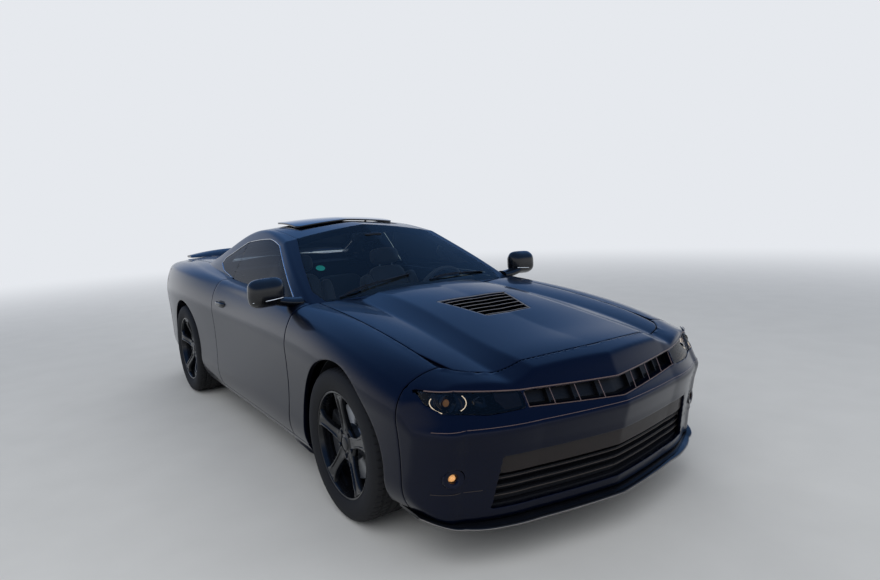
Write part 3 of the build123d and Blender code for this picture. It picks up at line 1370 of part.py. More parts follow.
with BuildPart() as front_seat:
    add(
        cushion(
            [(450, 330), (475, 470), (430, 500), (30, 440), (-120, 720), (-230, 1010), (-325, 1000), (-240, 660), (-150, 340)],
            16,
            DRIVER_Y - SEAT_HALF,
            DRIVER_Y + SEAT_HALF,
        )
    )
    add(
        cushion(
            [(-215, 990), (-255, 1150), (-330, 1150), (-320, 980)], 20, DRIVER_Y - HEADREST_HALF, DRIVER_Y + HEADREST_HALF
        )
    )
    add(block(-80, 380, DRIVER_Y - 180, DRIVER_Y + 180, FLOOR_TOP_Z, 345))
save_pair(front_seat.part, "front_seat")

REAR_SEAT_HALF = 620.0
with BuildPart() as rear_seat:
    add(
        cushion(
            [(-560, FLOOR_TOP_Z + 20), (-560, 430), (-600, 460), (-930, 440), (-1075, 880), (-1140, 900), (-1140, FLOOR_TOP_Z + 20)],
            16,
            -REAR_SEAT_HALF,
            REAR_SEAT_HALF,
        )
    )
    add(block(BULKHEAD_X, -1100, -500, 500, FLOOR_TOP_Z + 60, 800))
    add(rear_structure.part, mode=Mode.SUBTRACT)
    add(block(BULKHEAD_X, -560, -TUNNEL_HALF - GAP, TUNNEL_HALF + GAP, FLOOR_Z, TUNNEL_TOP_Z + GAP), mode=Mode.SUBTRACT)
save(rear_seat.part, "rear_seat")

# Mirrors, carried by the doors
with BuildPart() as mirror_housing:
    with BuildSketch(Plane.YZ.offset(770)):
        with Locations((940, 1015)):
            RectangleRounded(170, 110, 40)
    with BuildSketch(Plane.YZ.offset(690)):
        with Locations((945, 1018)):
            RectangleRounded(205, 140, 46)
    loft()
    with BuildSketch(Plane.YZ.offset(690)):
        with Locations((945, 1018)):
            RectangleRounded(185, 120, 40)
    extrude(amount=12, mode=Mode.SUBTRACT)
    add(prism(polygon((690, 950), (760, 950), (748, 985), (702, 985)), Plane.XZ.offset(-765), -120))
    add(door.part, mode=Mode.SUBTRACT)
    add(door_glass.part, mode=Mode.SUBTRACT)
    add(body_side.part, mode=Mode.SUBTRACT)
save_pair(mirror_housing.part, "mirror")

# Sunroof panel, lifted and slid back over the roof on two arms
SUNROOF_TILT = 4.0
SUNROOF_LIFT = (-70.0, 0.0, 26.0)
with BuildPart() as sunroof_panel:
    with BuildPart(mode=Mode.PRIVATE) as sunroof_skin:
        add(cabin)
        add(cabin_solid(GLASS), mode=Mode.SUBTRACT)
        add(prism(grown(sunroof_outline, -GAP), Plane.XY.offset(1000), 600), mode=Mode.INTERSECT)
    add(sunroof_skin.part.moved(Location(SUNROOF_LIFT)))
    for sign in (1, -1):
        low, high = sorted((sign * 378, sign * 400))
        add(block(-420, -330, low, high, 1325, 1394))
save(sunroof_panel.part, "sunroof_panel")
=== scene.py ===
import bmesh
import bpy
import numpy as np
from mathutils import Matrix, Vector


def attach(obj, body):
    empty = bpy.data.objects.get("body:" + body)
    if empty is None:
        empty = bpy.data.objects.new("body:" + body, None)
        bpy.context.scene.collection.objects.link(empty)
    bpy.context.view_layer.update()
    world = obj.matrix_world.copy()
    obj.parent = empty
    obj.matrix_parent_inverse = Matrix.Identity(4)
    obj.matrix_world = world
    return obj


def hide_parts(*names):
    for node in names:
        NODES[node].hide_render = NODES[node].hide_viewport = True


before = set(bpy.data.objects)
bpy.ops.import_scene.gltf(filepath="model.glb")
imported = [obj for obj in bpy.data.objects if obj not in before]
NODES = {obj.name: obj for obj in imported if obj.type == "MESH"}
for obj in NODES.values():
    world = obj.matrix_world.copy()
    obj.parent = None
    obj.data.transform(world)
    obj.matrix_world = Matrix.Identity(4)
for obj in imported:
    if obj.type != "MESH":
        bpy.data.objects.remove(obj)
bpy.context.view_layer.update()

bl_info = {
    "name": "Muscle coupe dress",
    "version": (1, 0, 0),
    "blender": (4, 5, 0),
    "location": "View3D > Sidebar > Coupe",
    "description": "Dresses the packed two-door coupe with its paint, glass, lamps, wheels and cabin",
    "category": "Object",
}

# The car's frame: +X to the nose, +Y to its left, +Z up. Tables are in millimetres, pieces in metres
MM = 0.001
# Every material by a short key, filled by the first operator
MATERIALS = {}
# Where the axles lie, half the track, the radius of tyre and wheel opening, and where windshield meets roof
FRONT_AXLE_X = 1480.0
REAR_AXLE_X = -1372.0
HALF_TRACK = 809.0
TYRE_RADIUS = 364.0
ARCH_RADIUS = 410.0
HEADER_X = 120.0

# Lower body sections from the sill up to the centre line
STATION_X = np.array(
    [2480, 2400, 2320, 2240, 2120, 2000, 1740, 1480, 1000, 400, -450, -1000, -1450, -2000, -2240, -2480],
    float,
)[::-1]
# Each row: sill edge, sill, low, crease, shoulder, edge, valley, dome and crown, as width and height
STATION_POINTS = np.array([
    [640, 195, 700, 225, 770, 330, 815, 560, 770, 650, 640, 672, 470, 676, 330, 690, 0, 700],
    [673, 195, 733, 222, 802, 344, 827.5, 557, 784, 661, 621, 700, 484, 699, 355, 734, 0, 753.5],
    [703, 194, 763, 220, 829, 353.5, 844, 561, 801, 676, 621, 724, 495, 721, 374, 765.6, 0, 789.4],
    [730, 192, 790, 219, 853.5, 358.5, 862, 569, 820, 692, 635, 746, 505, 742.5, 387, 788.6, 0, 812],
    [764, 189, 824, 217, 883, 361, 890, 588, 846, 720, 668, 774.5, 515, 773, 397, 812, 0, 830.3],
    [790, 185, 850, 215, 905, 360, 915, 610, 868, 748, 700, 800, 520, 800, 400, 830, 0, 842],
    [821, 177, 881, 210, 930, 358.5, 943.5, 655, 890, 804.5, 723, 849.4, 515, 847.7, 389.5, 873.6, 0, 880.7],
    [830, 170, 890, 205, 935, 360, 947, 690, 888, 850, 712, 890, 500, 884, 370, 918, 0, 928],
    [825, 165, 885, 200, 928, 370, 928, 722, 866, 898, 715, 938, 480, 934, 345, 970, 0, 984],
    [820, 165, 880, 200, 922, 380, 910, 730, 850, 915, 790, 958, 480, 968, 340, 972, 0, 976],
    [820, 165, 880, 200, 922, 390, 912, 748, 852, 940, 790, 980, 480, 990, 340, 994, 0, 998],
    [825, 170, 885, 205, 930, 400, 936, 770, 880, 975, 780, 1012, 480, 1028, 340, 1034, 0, 1038],
    [825, 175, 885, 210, 935, 400, 949, 782, 895, 1000, 750, 1040, 470, 1052, 330, 1058, 0, 1062],
    [790, 190, 850, 225, 905, 400, 925, 790, 862, 1008, 710, 1048, 460, 1060, 320, 1066, 0, 1070],
    [748, 204, 808, 240.5, 864, 406, 895, 787.6, 829, 1001, 713, 1038.8, 461, 1062.4, 321, 1065.2, 0, 1067.4],
    [680, 215, 740, 260, 800, 400, 850, 760, 800, 985, 680, 1035, 440, 1052, 300, 1060, 0, 1064],
], float)[::-1]
SECTION_BOWS = np.array([6, 16, -5, 16, 12, 5, -3, 6], float)

# Nose and tail seen from above: height, front end and rear end on the centre line
END_Z = np.array([100, 185, 300, 500, 585, 612, 720, 765, 940, 1000, 1200], float)
END_FRONT = np.array([2330, 2350, 2362, 2395, 2420, 2400, 2345, 2325, 2240, 2210, 2150], float)
END_REAR = np.array([-2320, -2335, -2362, -2405, -2418, -2420, -2414, -2382, -2376, -2404, -2400], float)
# Arcs of the outline: start and end as (setback, width), and how far each bows out
FRONT_ARCS = (((0, 0), (70, 430), 6), ((70, 430), (175, 740), 16), ((175, 740), (620, 1000), 60))
REAR_ARCS = (((0, 0), (110, 740), 30), ((110, 740), (520, 1000), 50))

# Cabin sections: side foot, roof rail and crown
CABIN_FOOT_Z = 820.0
RAIL_TURN = 46.0
SIDE_BOW = 14.0
CABIN_X = np.array([980, 540, 120, -200, -800, -1200, -1560, -1900], float)[::-1]
CABIN_POINTS = np.array([
    [830, 770, 838, 926], [815, 712, 1045, 1143], [808, 604, 1245, 1350], [808, 566, 1300, 1377],
    [812, 566, 1262, 1316], [815, 640, 1120, 1180], [815, 690, 1005, 1054], [815, 720, 890, 935],
], float)[::-1]


# Curves and surfaces


def smooth_curve(knots, values):
    """A natural cubic through the knots: bends from the tridiagonal system, then the cubic between."""
    knots = np.asarray(knots, float)
    values = np.asarray(values, float).reshape(len(knots), -1)
    step = np.diff(knots)
    count = len(knots)
    system = np.eye(count)
    right = np.zeros_like(values)
    for i in range(1, count - 1):
        system[i, i - 1 : i + 2] = step[i - 1], 2 * (step[i - 1] + step[i]), step[i]
        slopes = (values[i + 1] - values[i]) / step[i] - (values[i] - values[i - 1]) / step[i - 1]
        right[i] = 6 * slopes
    bend = np.linalg.solve(system, right)

    def curve(at):
        at = np.asarray(at, float)
        i = np.clip(np.searchsorted(knots, at) - 1, 0, count - 2)
        h = step[i][..., None]
        a = (knots[i + 1] - at)[..., None] / h
        b = 1 - a
        cubic = ((a**3 - a) * bend[i] + (b**3 - b) * bend[i + 1]) * h**2 / 6
        return a * values[i] + b * values[i + 1] + cubic

    return curve


body_columns = smooth_curve(STATION_X, STATION_POINTS)
# The cabin is two lofts that meet at the header, the windshield and the roof
roof_columns = smooth_curve(CABIN_X[:6], CABIN_POINTS[:6])
shield_columns = smooth_curve(CABIN_X[5:], CABIN_POINTS[5:])


def along_section(points, bows, share, turn, fold_y):
    """The point at a share of a section's length: each stretch is its chord plus 4 b t (1 - t) along its
    normal. The point is the mean of five within the given turn, which rounds the creases. Past the end it
    folds over the centre plane."""
    chord = points[..., 1:, :] - points[..., :-1, :]
    length = np.hypot(chord[..., 0], chord[..., 1])
    ends = np.cumsum(length, axis=-1)
    total = ends[..., -1]
    out = np.zeros(share.shape + (2,))
    for shift, weight in ((-1.0, 0.1), (-0.5, 0.24), (0.0, 0.32), (0.5, 0.24), (1.0, 0.1)):
        distance = np.clip(share * total + shift * turn, 0, None)
        folded = (distance > total) & fold_y
        distance = np.where(distance > total, np.where(folded, 2 * total - distance, total), distance)
        i = np.clip((distance[..., None] > ends).sum(-1), 0, len(bows) - 1)[..., None]
        size = np.take_along_axis(length, i, -1)[..., 0]
        start = np.take_along_axis(ends, i, -1)[..., 0] - size
        t = (distance - start) / size
        bow = 4 * bows[i[..., 0]] * t * (1 - t) / size
        p = np.take_along_axis(points[..., :-1, :], i[..., None], -2)[..., 0, :]
        c = np.take_along_axis(chord, i[..., None], -2)[..., 0, :]
        y = p[..., 0] + c[..., 0] * t + bow * c[..., 1]
        z = p[..., 1] + c[..., 1] * t - bow * c[..., 0]
        out[..., 0] += weight * np.where(folded, -y, y)
        out[..., 1] += weight * z
    return out


def body_surface(x, share, turn=9.0):
    """The lower body's skin on the left, by a share of the way from the sill to the centre."""
    points = body_columns(x).reshape(np.shape(x) + (9, 2))
    yz = along_section(points, SECTION_BOWS, share, turn, True)
    return np.stack([np.broadcast_to(x, share.shape), yz[..., 0], yz[..., 1]], -1)


def cabin_surface(x, share, turn=14.0):
    """The cabin's skin on the left: up the side glass, over the roof rail and across to the centre."""
    x = np.asarray(x, float)
    columns = np.where((x > HEADER_X)[..., None], shield_columns(x), roof_columns(x))
    foot_y, rail_y, rail_z, crown_z = np.moveaxis(columns, -1, 0)
    corner = (rail_y - RAIL_TURN, rail_z + RAIL_TURN * 0.55)
    points = np.stack(
        [
            np.stack([foot_y, np.full_like(foot_y, CABIN_FOOT_Z)], -1),
            np.stack([rail_y, rail_z], -1),
            np.stack(corner, -1),
            np.stack([np.zeros_like(crown_z), crown_z], -1),
        ],
        -2,
    )
    yz = along_section(points, np.array([SIDE_BOW, 9.0, 8.0]), share, turn, True)
    return np.stack([x, yz[..., 0], yz[..., 1]], -1)


def setback(width, arcs):
    """How far an end's outline lies back at a width: each arc is its chord less its bow, 4 b t (1 - t)."""
    width = np.abs(width)
    back = np.zeros_like(width)
    for (back0, y0), (back1, y1), bow in arcs:
        t = (width - y0) / (y1 - y0)
        slant = np.hypot(back1 - back0, y1 - y0) / (y1 - y0)
        here = back0 + (back1 - back0) * t - 4 * bow * slant * t * (1 - t)
        back = np.where(t >= 0, np.where(t <= 1, here, back1 + (width - y1) * 4), back)
    return back


def front_x(y, z):
    """Where the nose's upright form lies, at a width and height."""
    return np.interp(z, END_Z, END_FRONT) - setback(y, FRONT_ARCS)


def rear_x(y, z):
    """Where the tail's upright form lies, at a width and height."""
    return np.interp(z, END_Z, END_REAR) + setback(y, REAR_ARCS)


def polar_table(x_values, middle_z, angles):
    """Each section's distance from a point on the centre plane, by angle, from straight down to up."""
    share = np.linspace(0, 1, 400)
    rows = []
    for x in x_values:
        skin = body_surface(np.full(share.shape, x), share, 0.0)
        y = np.r_[np.linspace(0, skin[0, 1], 20), skin[:, 1]]
        z = np.r_[np.full(20, skin[0, 2]), skin[:, 2]] - middle_z
        turn = np.arctan2(z, y)
        rows.append(np.interp(angles, turn, np.hypot(y, z)))
    return np.array(rows)


def end_surface(azimuth, elevation, nose, middle_x, middle_z, rounds):
    """The nose or tail seen from a point inside it: along each direction the distance r at which the ray
    leaves the body's section or the end's upright form, found by halving, then evened to round the edges."""
    sign = 1.0 if nose else -1.0
    x_values = np.linspace(middle_x, middle_x + sign * 760, 70)
    angles = np.linspace(-np.pi / 2, np.pi / 2, 361)
    table = polar_table(x_values, middle_z, angles)
    ray = np.stack(
        [
            sign * np.cos(azimuth) * np.cos(elevation),
            np.sin(azimuth) * np.cos(elevation),
            np.sin(elevation),
        ],
        -1,
    )
    low = np.full(azimuth.shape, 100.0)
    high = np.full(azimuth.shape, 1400.0)
    for _ in range(26):
        r = (low + high) / 2
        x = middle_x + r * ray[..., 0]
        y = np.abs(r * ray[..., 1])
        z = r * ray[..., 2]
        u = np.clip((x - x_values[0]) / (x_values[-1] - x_values[0]), 0, 1) * (len(x_values) - 1)
        v = (np.arctan2(z, y) + np.pi / 2) / np.pi * (len(angles) - 1)
        i = np.clip(u.astype(int), 0, len(x_values) - 2)
        j = np.clip(v.astype(int), 0, len(angles) - 2)
        a, b = u - i, v - j
        limit = (
            table[i, j] * (1 - a) * (1 - b)
            + table[i + 1, j] * a * (1 - b)
            + table[i, j + 1] * (1 - a) * b
            + table[i + 1, j + 1] * a * b
        )
        end = front_x(y, z + middle_z) if nose else rear_x(y, z + middle_z)
        outside = (np.hypot(y, z) > limit) | (sign * (x - end) > 0)
        high = np.where(outside, r, high)
        low = np.where(outside, low, r)
    for _ in range(rounds):
        for axis in (0, 1):
            ahead = np.roll(r, 1, axis)
            behind = np.roll(r, -1, axis)
            even = (ahead + 2 * r + behind) / 4
            inner = [slice(None), slice(None)]
            inner[axis] = slice(1, -1)
            r[tuple(inner)] = even[tuple(inner)]
    return np.array([middle_x, 0, middle_z]) + r[..., None] * ray


# Outlines and trimmed patches


def full_turn(count):
    """Evenly spaced angles once round, without the last, which is the first again."""
    return np.linspace(0, 2 * np.pi, count, endpoint=False)


def unit(vectors):
    """Each vector over its length."""
    return vectors / np.maximum(np.linalg.norm(vectors, axis=1, keepdims=True), 1e-9)


def arc_points(start, end, bow, count=12):
    """Points from start to before end on an arc that bows to the left of its travel by the given amount."""
    start, end = np.array(start, float), np.array(end, float)
    t = np.linspace(0, 1, count, endpoint=False)[:, None]
    chord = end - start
    left = np.array([-chord[1], chord[0]]) / np.hypot(*chord)
    return start + chord * t + left * 4 * bow * t * (1 - t)


def mirrored_outline(half):
    """A half outline closed by its mirror image over the first coordinate's axis."""
    half = np.asarray(half, float)
    return np.vstack([half, half[::-1] * [1, -1]])


def circle_outline(middle, radius, count=72):
    """A circle's points."""
    turn = full_turn(count)
    return np.array(middle) + radius * np.stack([np.cos(turn), np.sin(turn)], -1)


def outline_distance(points, outline):
    """Distance from points to a closed outline, negative inside: the least over its edges."""
    outline = np.asarray(outline, float)
    ends = np.roll(outline, -1, axis=0)
    best = np.full(points.shape[:-1], np.inf)
    inside = np.zeros(points.shape[:-1], bool)
    for a, b in zip(outline, ends):
        edge = b - a
        span = float(edge @ edge)
        if span < 1e-9:
            continue
        t = np.clip(((points - a) @ edge) / span, 0, 1)
        gap = points - a - t[..., None] * edge
        best = np.minimum(best, np.hypot(gap[..., 0], gap[..., 1]))
        crosses = (a[1] > points[..., 1]) != (b[1] > points[..., 1])
        if a[1] != b[1]:
            at = a[0] + (points[..., 1] - a[1]) * edge[0] / edge[1]
            inside ^= crosses & (points[..., 0] < at)
    return np.where(inside, -best, best)


VIEWS = {"side": (0, 2), "top": (0, 1), "front": (1, 2)}


def within(view, outline, room=0.0):
    """A limit that keeps what lies inside an outline, seen in one view, by at least the room."""
    return lambda p: outline_distance(p[..., VIEWS[view]], outline) + room


def without(view, outline, room=0.0):
    """A limit that keeps what lies outside an outline, seen in one view, by at least the room."""
    return lambda p: room - outline_distance(p[..., VIEWS[view]], outline)


def side_of(view, start, end, room=0.0):
    """A limit that keeps what lies to the left of a line through two points, seen in one view."""
    start, end = np.array(start, float), np.array(end, float)
    left = np.array([start[1] - end[1], end[0] - start[0]])
    left /= np.hypot(*left)
    return lambda p: room - (p[..., VIEWS[view]] - start) @ left


# The share of a cell by which a grid point may slide to a limit
SLIDE = 0.52


def trimmed_patch(surface, u, v, limits, passes=3):
    """A surface over a grid of two parameters, cut to its limits.

    Each limit is negative inside. Where the largest one changes sign within half a cell of a grid point, the
    point slides along the parameter in which it changes most, onto its zero. Cells whose corners all lie
    inside are kept, and a cell with three such corners gives a triangle."""
    rows, cols = len(u), len(v)
    i, j = np.meshgrid(np.arange(rows, dtype=float), np.arange(cols, dtype=float), indexing="ij")

    def at(a, b):
        return surface(np.interp(a, np.arange(rows), u), np.interp(b, np.arange(cols), v))

    def worst(points):
        return np.max([limit(points) for limit in limits], axis=0)

    a, b = i.copy(), j.copy()
    points = at(a, b)
    value = worst(points)
    slope_i = np.gradient(value, axis=0)
    slope_j = np.gradient(value, axis=1)
    along_i = np.abs(slope_i) >= np.abs(slope_j)
    slope = np.where(along_i, slope_i, slope_j)
    near = np.abs(value) <= SLIDE * np.abs(slope)
    for _ in range(passes):
        move = np.where(near, -value / np.where(np.abs(slope) < 1e-6, 1e-6, slope), 0)
        move = np.clip(move, -0.5, 0.5)
        a = np.clip(np.where(along_i, np.clip(a + move, i - SLIDE, i + SLIDE), a), 0, rows - 1)
        b = np.clip(np.where(along_i, b, np.clip(b + move, j - SLIDE, j + SLIDE)), 0, cols - 1)
        points = at(a, b)
        value = worst(points)
    keep = (near | (value < 0)) & (value < 4.0)
    index = np.arange(rows * cols).reshape(rows, cols)
    corners, kept = cell_corners(index), cell_corners(keep)
    count = sum(k.astype(int) for k in kept)
    faces = [tuple(f) for f in np.stack([c[count == 4] for c in corners], -1).tolist()]
    for missing in range(4):
        mask = (count == 3) & ~kept[missing]
        three = [corners[k][mask] for k in range(4) if k != missing]
        faces += [tuple(f) for f in np.stack(three, -1).tolist()]
    return compact(points.reshape(-1, 3), faces)


def cell_corners(grid):
    """The values at the four corners of every cell of a grid, in turn round the cell."""
    return [grid[:-1, :-1], grid[1:, :-1], grid[1:, 1:], grid[:-1, 1:]]


def compact(points, faces):
    """Drops the points that no face uses."""
    used = np.zeros(len(points), bool)
    for face in faces:
        used[list(face)] = True
    renumber = np.cumsum(used) - 1
    return points[used], [tuple(int(renumber[k]) for k in face) for face in faces]


def boundary_edges(faces):
    """The edges that belong to one face only, in that face's direction."""
    pairs = np.array([(a, b) for f in faces for a, b in zip(f, f[1:] + f[:1])])
    low, high = pairs.min(1), pairs.max(1)
    key = low.astype(np.int64) * (high.max() + 1) + high
    _, first, count = np.unique(key, return_index=True, return_counts=True)
    return pairs[first[count == 1]]


def corner_normals(points, faces):
    """Unit normals at the points: the sum of the cross products of the faces round each."""
    quads = np.array([f if len(f) == 4 else f + (f[2],) for f in faces])
    cross = np.cross(points[quads[:, 2]] - points[quads[:, 0]], points[quads[:, 3]] - points[quads[:, 1]])
    flat = np.array([len(f) == 3 for f in faces])
    tri = np.cross(points[quads[:, 1]] - points[quads[:, 0]], points[quads[:, 2]] - points[quads[:, 0]])
    cross[flat] = tri[flat]
    normal = np.zeros_like(points)
    for k in range(4):
        np.add.at(normal, quads[:, k], cross)
    return unit(normal)


def hemmed(points, faces, radius, depth):
    """A patch whose open edges roll over by a quarter circle of the radius and go straight in to the depth.

    The patch's own rim is moved inwards along the surface by the radius first, so the outline stays."""
    points = points.copy()
    edges = boundary_edges(faces)
    normal = corner_normals(points, faces)
    along = np.zeros_like(points)
    run = unit(points[edges[:, 1]] - points[edges[:, 0]])
    np.add.at(along, edges[:, 0], run)
    np.add.at(along, edges[:, 1], run)
    rim = np.unique(edges)
    n = normal[rim]
    out = unit(np.cross(along[rim], n))
    base = points[rim] - out * radius
    rings = [base]
    for turn in (30, 60, 90):
        angle = np.radians(turn)
        rings.append(base + radius * (np.sin(angle) * out - (1 - np.cos(angle)) * n))
    rings.append(base + radius * out - depth * n)
    points[rim] = base
    place = np.full(len(points), -1)
    place[rim] = np.arange(len(rim))
    ids = [rim] + [len(points) + k * len(rim) + np.arange(len(rim)) for k in range(4)]
    faces = list(faces)
    a, b = place[edges[:, 0]], place[edges[:, 1]]
    for k in range(4):
        band = np.stack([ids[k][b], ids[k][a], ids[k + 1][a], ids[k + 1][b]], -1)
        faces += [tuple(f) for f in band.tolist()]
    return np.vstack([points] + rings[1:]), faces


def flipped(faces):
    """The same faces seen from the other side."""
    return [f[::-1] for f in faces]


def mirror_patch(points, faces):
    """A patch on the car's right side."""
    return points * [1, -1, 1], flipped(faces)


def joined(*patches):
    """Several patches as one."""
    points, faces, start = [], [], 0
    for p, f in patches:
        points.append(p)
        faces += [tuple(k + start for k in face) for face in f]
        start += len(p)
    return np.vstack(points), faces


def grid_faces(rows, cols, close_rows=False, close_cols=False):
    """Quads over a grid of points, closed in either direction on request."""
    index = np.arange(rows * cols).reshape(rows, cols)
    if close_rows:
        index = np.vstack([index, index[:1]])
    if close_cols:
        index = np.hstack([index, index[:, :1]])
    return [tuple(f) for f in np.stack(cell_corners(index), -1).reshape(-1, 4).tolist()]


def capped_faces(rows, count):
    """Quads over rows of closed sections, with one face over each end."""
    last = (rows - 1) * count
    ends = [tuple(range(count))[::-1], tuple(range(last, last + count))]
    return grid_faces(rows, count, close_cols=True) + ends


def revolved(profile, middle, segments=96):
    """A profile of (distance along Y, radius) carried round an axis along Y through the middle."""
    profile = np.asarray(profile, float)
    turn = full_turn(segments)
    x = profile[None, :, 1] * np.cos(turn)[:, None]
    z = profile[None, :, 1] * np.sin(turn)[:, None]
    y = np.broadcast_to(profile[None, :, 0], x.shape)
    points = np.stack([x, y, z], -1).reshape(-1, 3) + np.asarray(middle, float)
    return points, grid_faces(segments, len(profile), close_rows=True)


def swept(path, section, closed=False):
    """A closed section of (side, up) carried along a path, square to it, with one face over each end."""
    path = np.asarray(path, float)
    section = np.asarray(section, float)
    if closed:
        ahead, behind = np.roll(path, -1, 0), np.roll(path, 1, 0)
    else:
        ahead = np.vstack([path[1:], path[-1:]])
        behind = np.vstack([path[:1], path[:-1]])
    along = unit(ahead - behind)
    side = np.cross(along, [0, 0, 1.0])
    weak = np.linalg.norm(side, axis=1) < 0.05
    side[weak] = np.cross(along[weak], [0, 1.0, 0])
    side = unit(side)
    up = np.cross(side, along)
    points = path[:, None] + side[:, None] * section[None, :, :1] + up[:, None] * section[None, :, 1:]
    count = len(section)
    rows = len(path)
    faces = grid_faces(rows, count, close_rows=True, close_cols=True) if closed else capped_faces(rows, count)
    return points.reshape(-1, 3), faces


def ring_section(width, height, count=12):
    """A rounded section for a sweep: an ellipse of the given size."""
    turn = full_turn(count)
    return np.stack([np.cos(turn) * width / 2, np.sin(turn) * height / 2], -1)


def lathe_outline(outline, near, far):
    """An outline in Y and Z made a closed plate between two distances along X."""
    outline = np.asarray(outline, float)
    count = len(outline)
    front = np.column_stack([np.full(count, far), outline])
    back = np.column_stack([np.full(count, near), outline])
    return np.vstack([back, front]), capped_faces(2, count)


def make_piece(name, patch, key, body, slot, replaces=(), smooth=40.0, orient=True):
    """Puts a patch in millimetres into a mesh object in metres that rides on a body.

    A closed piece has its faces turned outwards; a sheet keeps them as they are."""
    points, faces = patch
    mesh = bpy.data.meshes.new(name)
    mesh.from_pydata((np.asarray(points, float) * MM).tolist(), [], faces)
    mesh.materials.append(MATERIALS[key])
    if orient:
        outward(mesh)
    mesh.polygons.foreach_set("use_smooth", np.ones(len(mesh.polygons), bool))
    mesh.update()
    if smooth < 180:
        mesh.set_sharp_from_angle(angle=np.radians(smooth))
    piece = bpy.data.objects.new(name, mesh)
    bpy.context.scene.collection.objects.link(piece)
    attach(piece, body)
    if replaces:
        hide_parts(*replaces)
    return piece


def outward(mesh):
    """Merges doubles and turns a closed mesh's faces outwards."""
    shape = bmesh.new()
    shape.from_mesh(mesh)
    bmesh.ops.remove_doubles(shape, verts=shape.verts, dist=1e-6)
    bmesh.ops.recalc_face_normals(shape, faces=shape.faces)
    shape.to_mesh(mesh)
    shape.free()


# Materials


def linear(hex_colour):
    """A colour written as an sRGB hex string, as linear RGBA."""
    value = [int(hex_colour[k : k + 2], 16) / 255 for k in (1, 3, 5)]
    return [v / 12.92 if v <= 0.04045 else ((v + 0.055) / 1.055) ** 2.4 for v in value] + [1.0]


def add_node(tree, kind, settings=None, numbered=None, **links):
    """Adds a node with its properties, socket values and ramp colours, and links its sockets."""
    node = tree.nodes.new(kind)
    for key, value in (settings or {}).items():
        if key == "ramp":
            for stop, colour in zip(node.color_ramp.elements, value):
                stop.color = colour
        elif key in node.inputs:
            node.inputs[key].default_value = value
        else:
            setattr(node, key, value)
    for socket, source in links.items():
        tree.links.new(source, node.inputs[socket.replace("_", " ")])
    for socket, source in (numbered or {}).items():
        tree.links.new(source, node.inputs[socket])
    return node


def set_sockets(node, **values):
    """Sets a node's socket values by name."""
    for socket, value in values.items():
        node.inputs[socket.replace("_", " ")].default_value = value


def new_material(name):
    """A material with its shader, and a texture coordinate node for patterns on the piece itself."""
    material = bpy.data.materials.new(name)
    material.use_nodes = True
    tree = material.node_tree
    shader = tree.nodes["Principled BSDF"]
    place = add_node(tree, "ShaderNodeTexCoord").outputs["Object"]
    return material, tree, shader, place


def finish_material(name, low, high, roughness, grain, bump, metallic=0.0, coat=0.0, sheen=0.0):
    """A material whose colour, roughness and height vary with one noise, at a grain in millimetres."""
    material, tree, shader, place = new_material(name)
    noise = add_node(tree, "ShaderNodeTexNoise", {"Scale": 1000 / grain, "Detail": 4.0}, Vector=place)
    share = noise.outputs["Fac"]
    ramp = add_node(tree, "ShaderNodeValToRGB", {"ramp": (linear(low), linear(high))}, Fac=share)
    tree.links.new(ramp.outputs["Color"], shader.inputs["Base Color"])
    span = {"To Min": max(roughness - 0.06, 0.02), "To Max": roughness + 0.08}
    spread = add_node(tree, "ShaderNodeMapRange", span, Value=share)
    tree.links.new(spread.outputs["Result"], shader.inputs["Roughness"])
    relief = add_node(tree, "ShaderNodeBump", {"Strength": 0.5, "Distance": bump * MM}, Height=share)
    tree.links.new(relief.outputs["Normal"], shader.inputs["Normal"])
    set_sockets(shader, Metallic=metallic, Sheen_Weight=sheen, Specular_IOR_Level=0.3)
    set_sockets(shader, Coat_Weight=coat, Coat_Roughness=0.04, Coat_IOR=1.35)
    return material


def paint_material():
    """Black metallic paint, sprayed: blue flakes under clear lacquer with a faint orange peel.

    Flakes are 0.4 mm across, ten times the real ones, so that they show; the peel's waves are 3 mm long."""
    settings = bpy.context.scene.coupe
    material, tree, shader, place = new_material("blue_black_metallic_paint")
    flakes = add_node(tree, "ShaderNodeTexVoronoi", {"Scale": 2600.0}, Vector=place)
    colours = (settings.paint_ground, settings.paint_flake)
    ramp = add_node(tree, "ShaderNodeValToRGB", {"ramp": colours}, Fac=flakes.outputs["Distance"])
    tree.links.new(ramp.outputs["Color"], shader.inputs["Base Color"])
    peel = add_node(tree, "ShaderNodeTexNoise", {"Scale": 320.0, "Detail": 1.0}, Vector=place)
    relief = {"Strength": 0.06, "Distance": 0.0002}
    bump = add_node(tree, "ShaderNodeBump", relief, Height=peel.outputs["Fac"])
    tree.links.new(bump.outputs["Normal"], shader.inputs["Coat Normal"])
    set_sockets(shader, Metallic=0.8, Roughness=0.34, Specular_IOR_Level=0.2, Coat_Weight=0.65, Coat_IOR=1.3)
    set_sockets(shader, Coat_Roughness=settings.lacquer_roughness)
    return material


